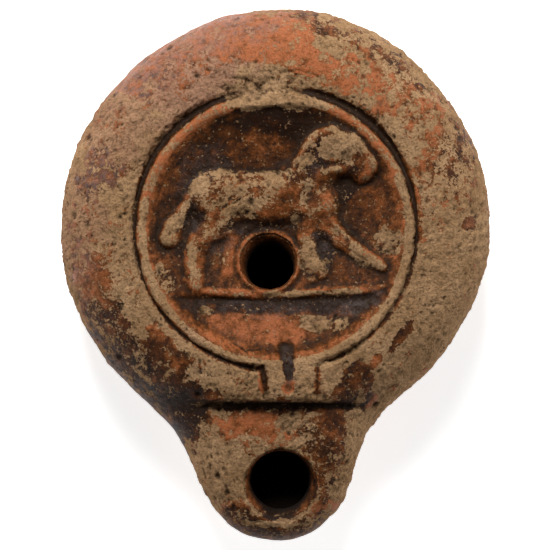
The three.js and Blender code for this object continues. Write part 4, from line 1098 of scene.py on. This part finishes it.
def clay_and_slip():
    material = bpy.data.materials.new("fired_clay_and_slip")
    nodes = Nodes(material)
    nodes.place = nodes.add("ShaderNodeTexCoord").outputs["Object"]
    slip, slip_dark_and_shade, violet_sheen = (nodes.attribute(name) for name in ("slip", "slip_dark_and_shade", "violet_sheen"))
    pink, hollow_shade_and_soil, pits, inside = (nodes.attribute(name) for name in ("pink", "hollow_shade_and_soil", "pits", "inside"))

    flakes = nodes.noise(2.4, 9, 0.74, distortion=0.25)
    specks = nodes.noise(0.5, 3, 0.65)
    frayed = nodes.maths("MULTIPLY_ADD", slip, 0.85, 0.075)
    frayed = nodes.swing(specks, 1.2, nodes.swing(flakes, 2.7, frayed))
    flecks = nodes.stepped(nodes.noise(0.75, 2, 0.5), 0.64, 0.70)
    unflecked = nodes.maths("MULTIPLY_ADD", flecks, -0.75, 1.0)
    kept = nodes.maths("MULTIPLY", nodes.stepped(frayed, 0.46, 0.54), unflecked)

    broad = nodes.noise(6, 5, 0.6)
    grain = nodes.noise(0.45, 5, 0.75)
    clay = nodes.ramp(broad, *CLAY_TONES)
    clay = nodes.blend(nodes.maths("MULTIPLY", pink, 0.6), clay, PINK_CLAY)
    clay = nodes.blend(1.0, clay, nodes.ramp(grain, *GRAIN_SHADES), "MULTIPLY")

    tone_noise = nodes.noise(1.8, 9, 0.76, distortion=0.2)
    coat = nodes.ramp(nodes.swing(tone_noise, 2.4, slip_dark_and_shade), *SLIP_TONES)
    # Painted reflection: a violet-grey sheen mixed into the slip where the violet map says; the gloss rises
    # there too.
    sheen_patches = nodes.stepped(nodes.noise(1.2, 5, 0.7), 0.38, 0.62)
    sheen_mask = nodes.maths("MULTIPLY", violet_sheen, sheen_patches, clamp=True)
    coat = nodes.blend(nodes.maths("MULTIPLY", sheen_mask, 0.6), coat, PAINTED_VIOLET_SHEEN)
    sheen = nodes.ramp(nodes.noise(0.3, 3, 0.7), *SHEEN_SHADES)
    coat = nodes.blend(1.0, coat, sheen, "MULTIPLY")

    colour = nodes.blend(kept, clay, coat)
    # Soil and painted shade in the hollows, frayed by noise.
    soil_and_shade_spots = nodes.maths("MULTIPLY", hollow_shade_and_soil, nodes.stepped(nodes.noise(0.8, 4, 0.6), 0.25, 0.6), clamp=True)
    colour = nodes.blend(nodes.maths("MULTIPLY", soil_and_shade_spots, 0.85), colour, SOIL_AND_SHADE_COLOUR)
    # Soil and painted shade inside the pits.
    colour = nodes.blend(nodes.maths("MULTIPLY", pits, 0.7), colour, PIT_SOIL_AND_SHADE)
    # Painted shade: the inside and the deep hole walls are coloured near black.
    colour = nodes.blend(inside, colour, INSIDE_SHADE_COLOUR)

    gloss = nodes.stepped(nodes.noise(0.9, 3, 0.5), 0.3, 0.7, 0.36, 0.55)
    gloss = nodes.maths("MULTIPLY_ADD", sheen_mask, -0.08, gloss)
    roughness = nodes.add("ShaderNodeMix", {0: kept, 2: 0.95, 3: gloss}).outputs[0]
    specular = nodes.stepped(kept, 0, 1, SPECULAR_CLAY, SPECULAR_SLIP)
    specular = nodes.maths("MULTIPLY_ADD", nodes.maths("MULTIPLY", sheen_mask, kept), SPECULAR_BLOOM, specular)

    fine = nodes.noise(0.25, 4, 0.75)
    coarse = nodes.noise(0.8, 4, 0.7)
    pores = nodes.stepped(nodes.noise(0.5, 2, 0.5), 0.60, 0.70)
    height = nodes.maths("MULTIPLY_ADD", fine, 0.45, nodes.maths("MULTIPLY", pores, -0.6))
    height = nodes.maths("MULTIPLY_ADD", coarse, 0.9, height)
    height = nodes.maths("MULTIPLY", height, nodes.stepped(kept, 0, 1, 1.0, 0.45))
    height = nodes.maths("MULTIPLY_ADD", kept, 0.30, height)
    bump = nodes.add("ShaderNodeBump", {"Height": height, "Strength": 1.0, "Distance": BUMP_DISTANCE * MM})

    shader = nodes.add("ShaderNodeBsdfPrincipled", {
        "Base Color": colour, "Roughness": roughness, "Specular IOR Level": specular,
        "Normal": bump.outputs["Normal"]})
    output = nodes.add("ShaderNodeOutputMaterial")
    nodes.tree.links.new(shader.outputs[0], output.inputs["Surface"])
    return material


lamp_mesh.materials.append(clay_and_slip())
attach(lamp, "root")
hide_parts("oil_lamp")
print("Material nodes:", len(lamp_mesh.materials[0].node_tree.nodes))

# %% [markdown]
# ## Table and light
#
# A museum photographs a lamp like this on a white table under large soft boxes. The table is a
# plain disc of pale matt stuff. One big light hangs over the back and two stand at the sides,
# so the ridges show a soft shadow towards the nozzle and the outer edges still catch light.

# %% Table
TABLE_R = 1500.0


def pale_table():
    material = bpy.data.materials.new("pale_table")
    nodes = Nodes(material)
    shader = nodes.add("ShaderNodeBsdfPrincipled", {
        "Base Color": (0.93, 0.93, 0.93, 1), "Roughness": 0.9,
        "Emission Color": (1, 1, 1, 1), "Emission Strength": 0.7})
    output = nodes.add("ShaderNodeOutputMaterial")
    nodes.tree.links.new(shader.outputs[0], output.inputs["Surface"])
    return material


table_net = bmesh.new()
bmesh.ops.create_circle(table_net, cap_ends=True, segments=64, radius=TABLE_R * MM)
table_mesh = bpy.data.meshes.new("table")
table_net.to_mesh(table_mesh)
table_net.free()
table_mesh.materials.append(pale_table())
table = bpy.data.objects.new("table", table_mesh)
bpy.context.scene.collection.objects.link(table)

# %% Lights
LIGHTS = [    # name, place in mm, size in mm, watts
    ("back_box", (-35, 310, 330), 190, 2.75),
    ("left_box", (-660, 60, 190), 300, 1.8),
    ("right_box", (660, 40, 190), 300, 2.0),
]
AMBIENT = 0.06

for name, place, size, watts in LIGHTS:
    light = bpy.data.lights.new(name, "AREA")
    light.shape, light.size, light.energy = "SQUARE", size * MM, watts
    box = bpy.data.objects.new(name, light)
    box.location = Vector(place) * MM
    box.rotation_euler = (Vector((0, 0, 0)) - box.location).to_track_quat("-Z", "Y").to_euler()
    bpy.context.scene.collection.objects.link(box)

world = bpy.data.worlds.new("studio")
world.use_nodes = True
world.node_tree.nodes["Background"].inputs["Color"].default_value = (1, 1, 1, 1)
world.node_tree.nodes["Background"].inputs["Strength"].default_value = AMBIENT
bpy.context.scene.world = world
bpy.context.scene.view_settings.view_transform = "Standard"
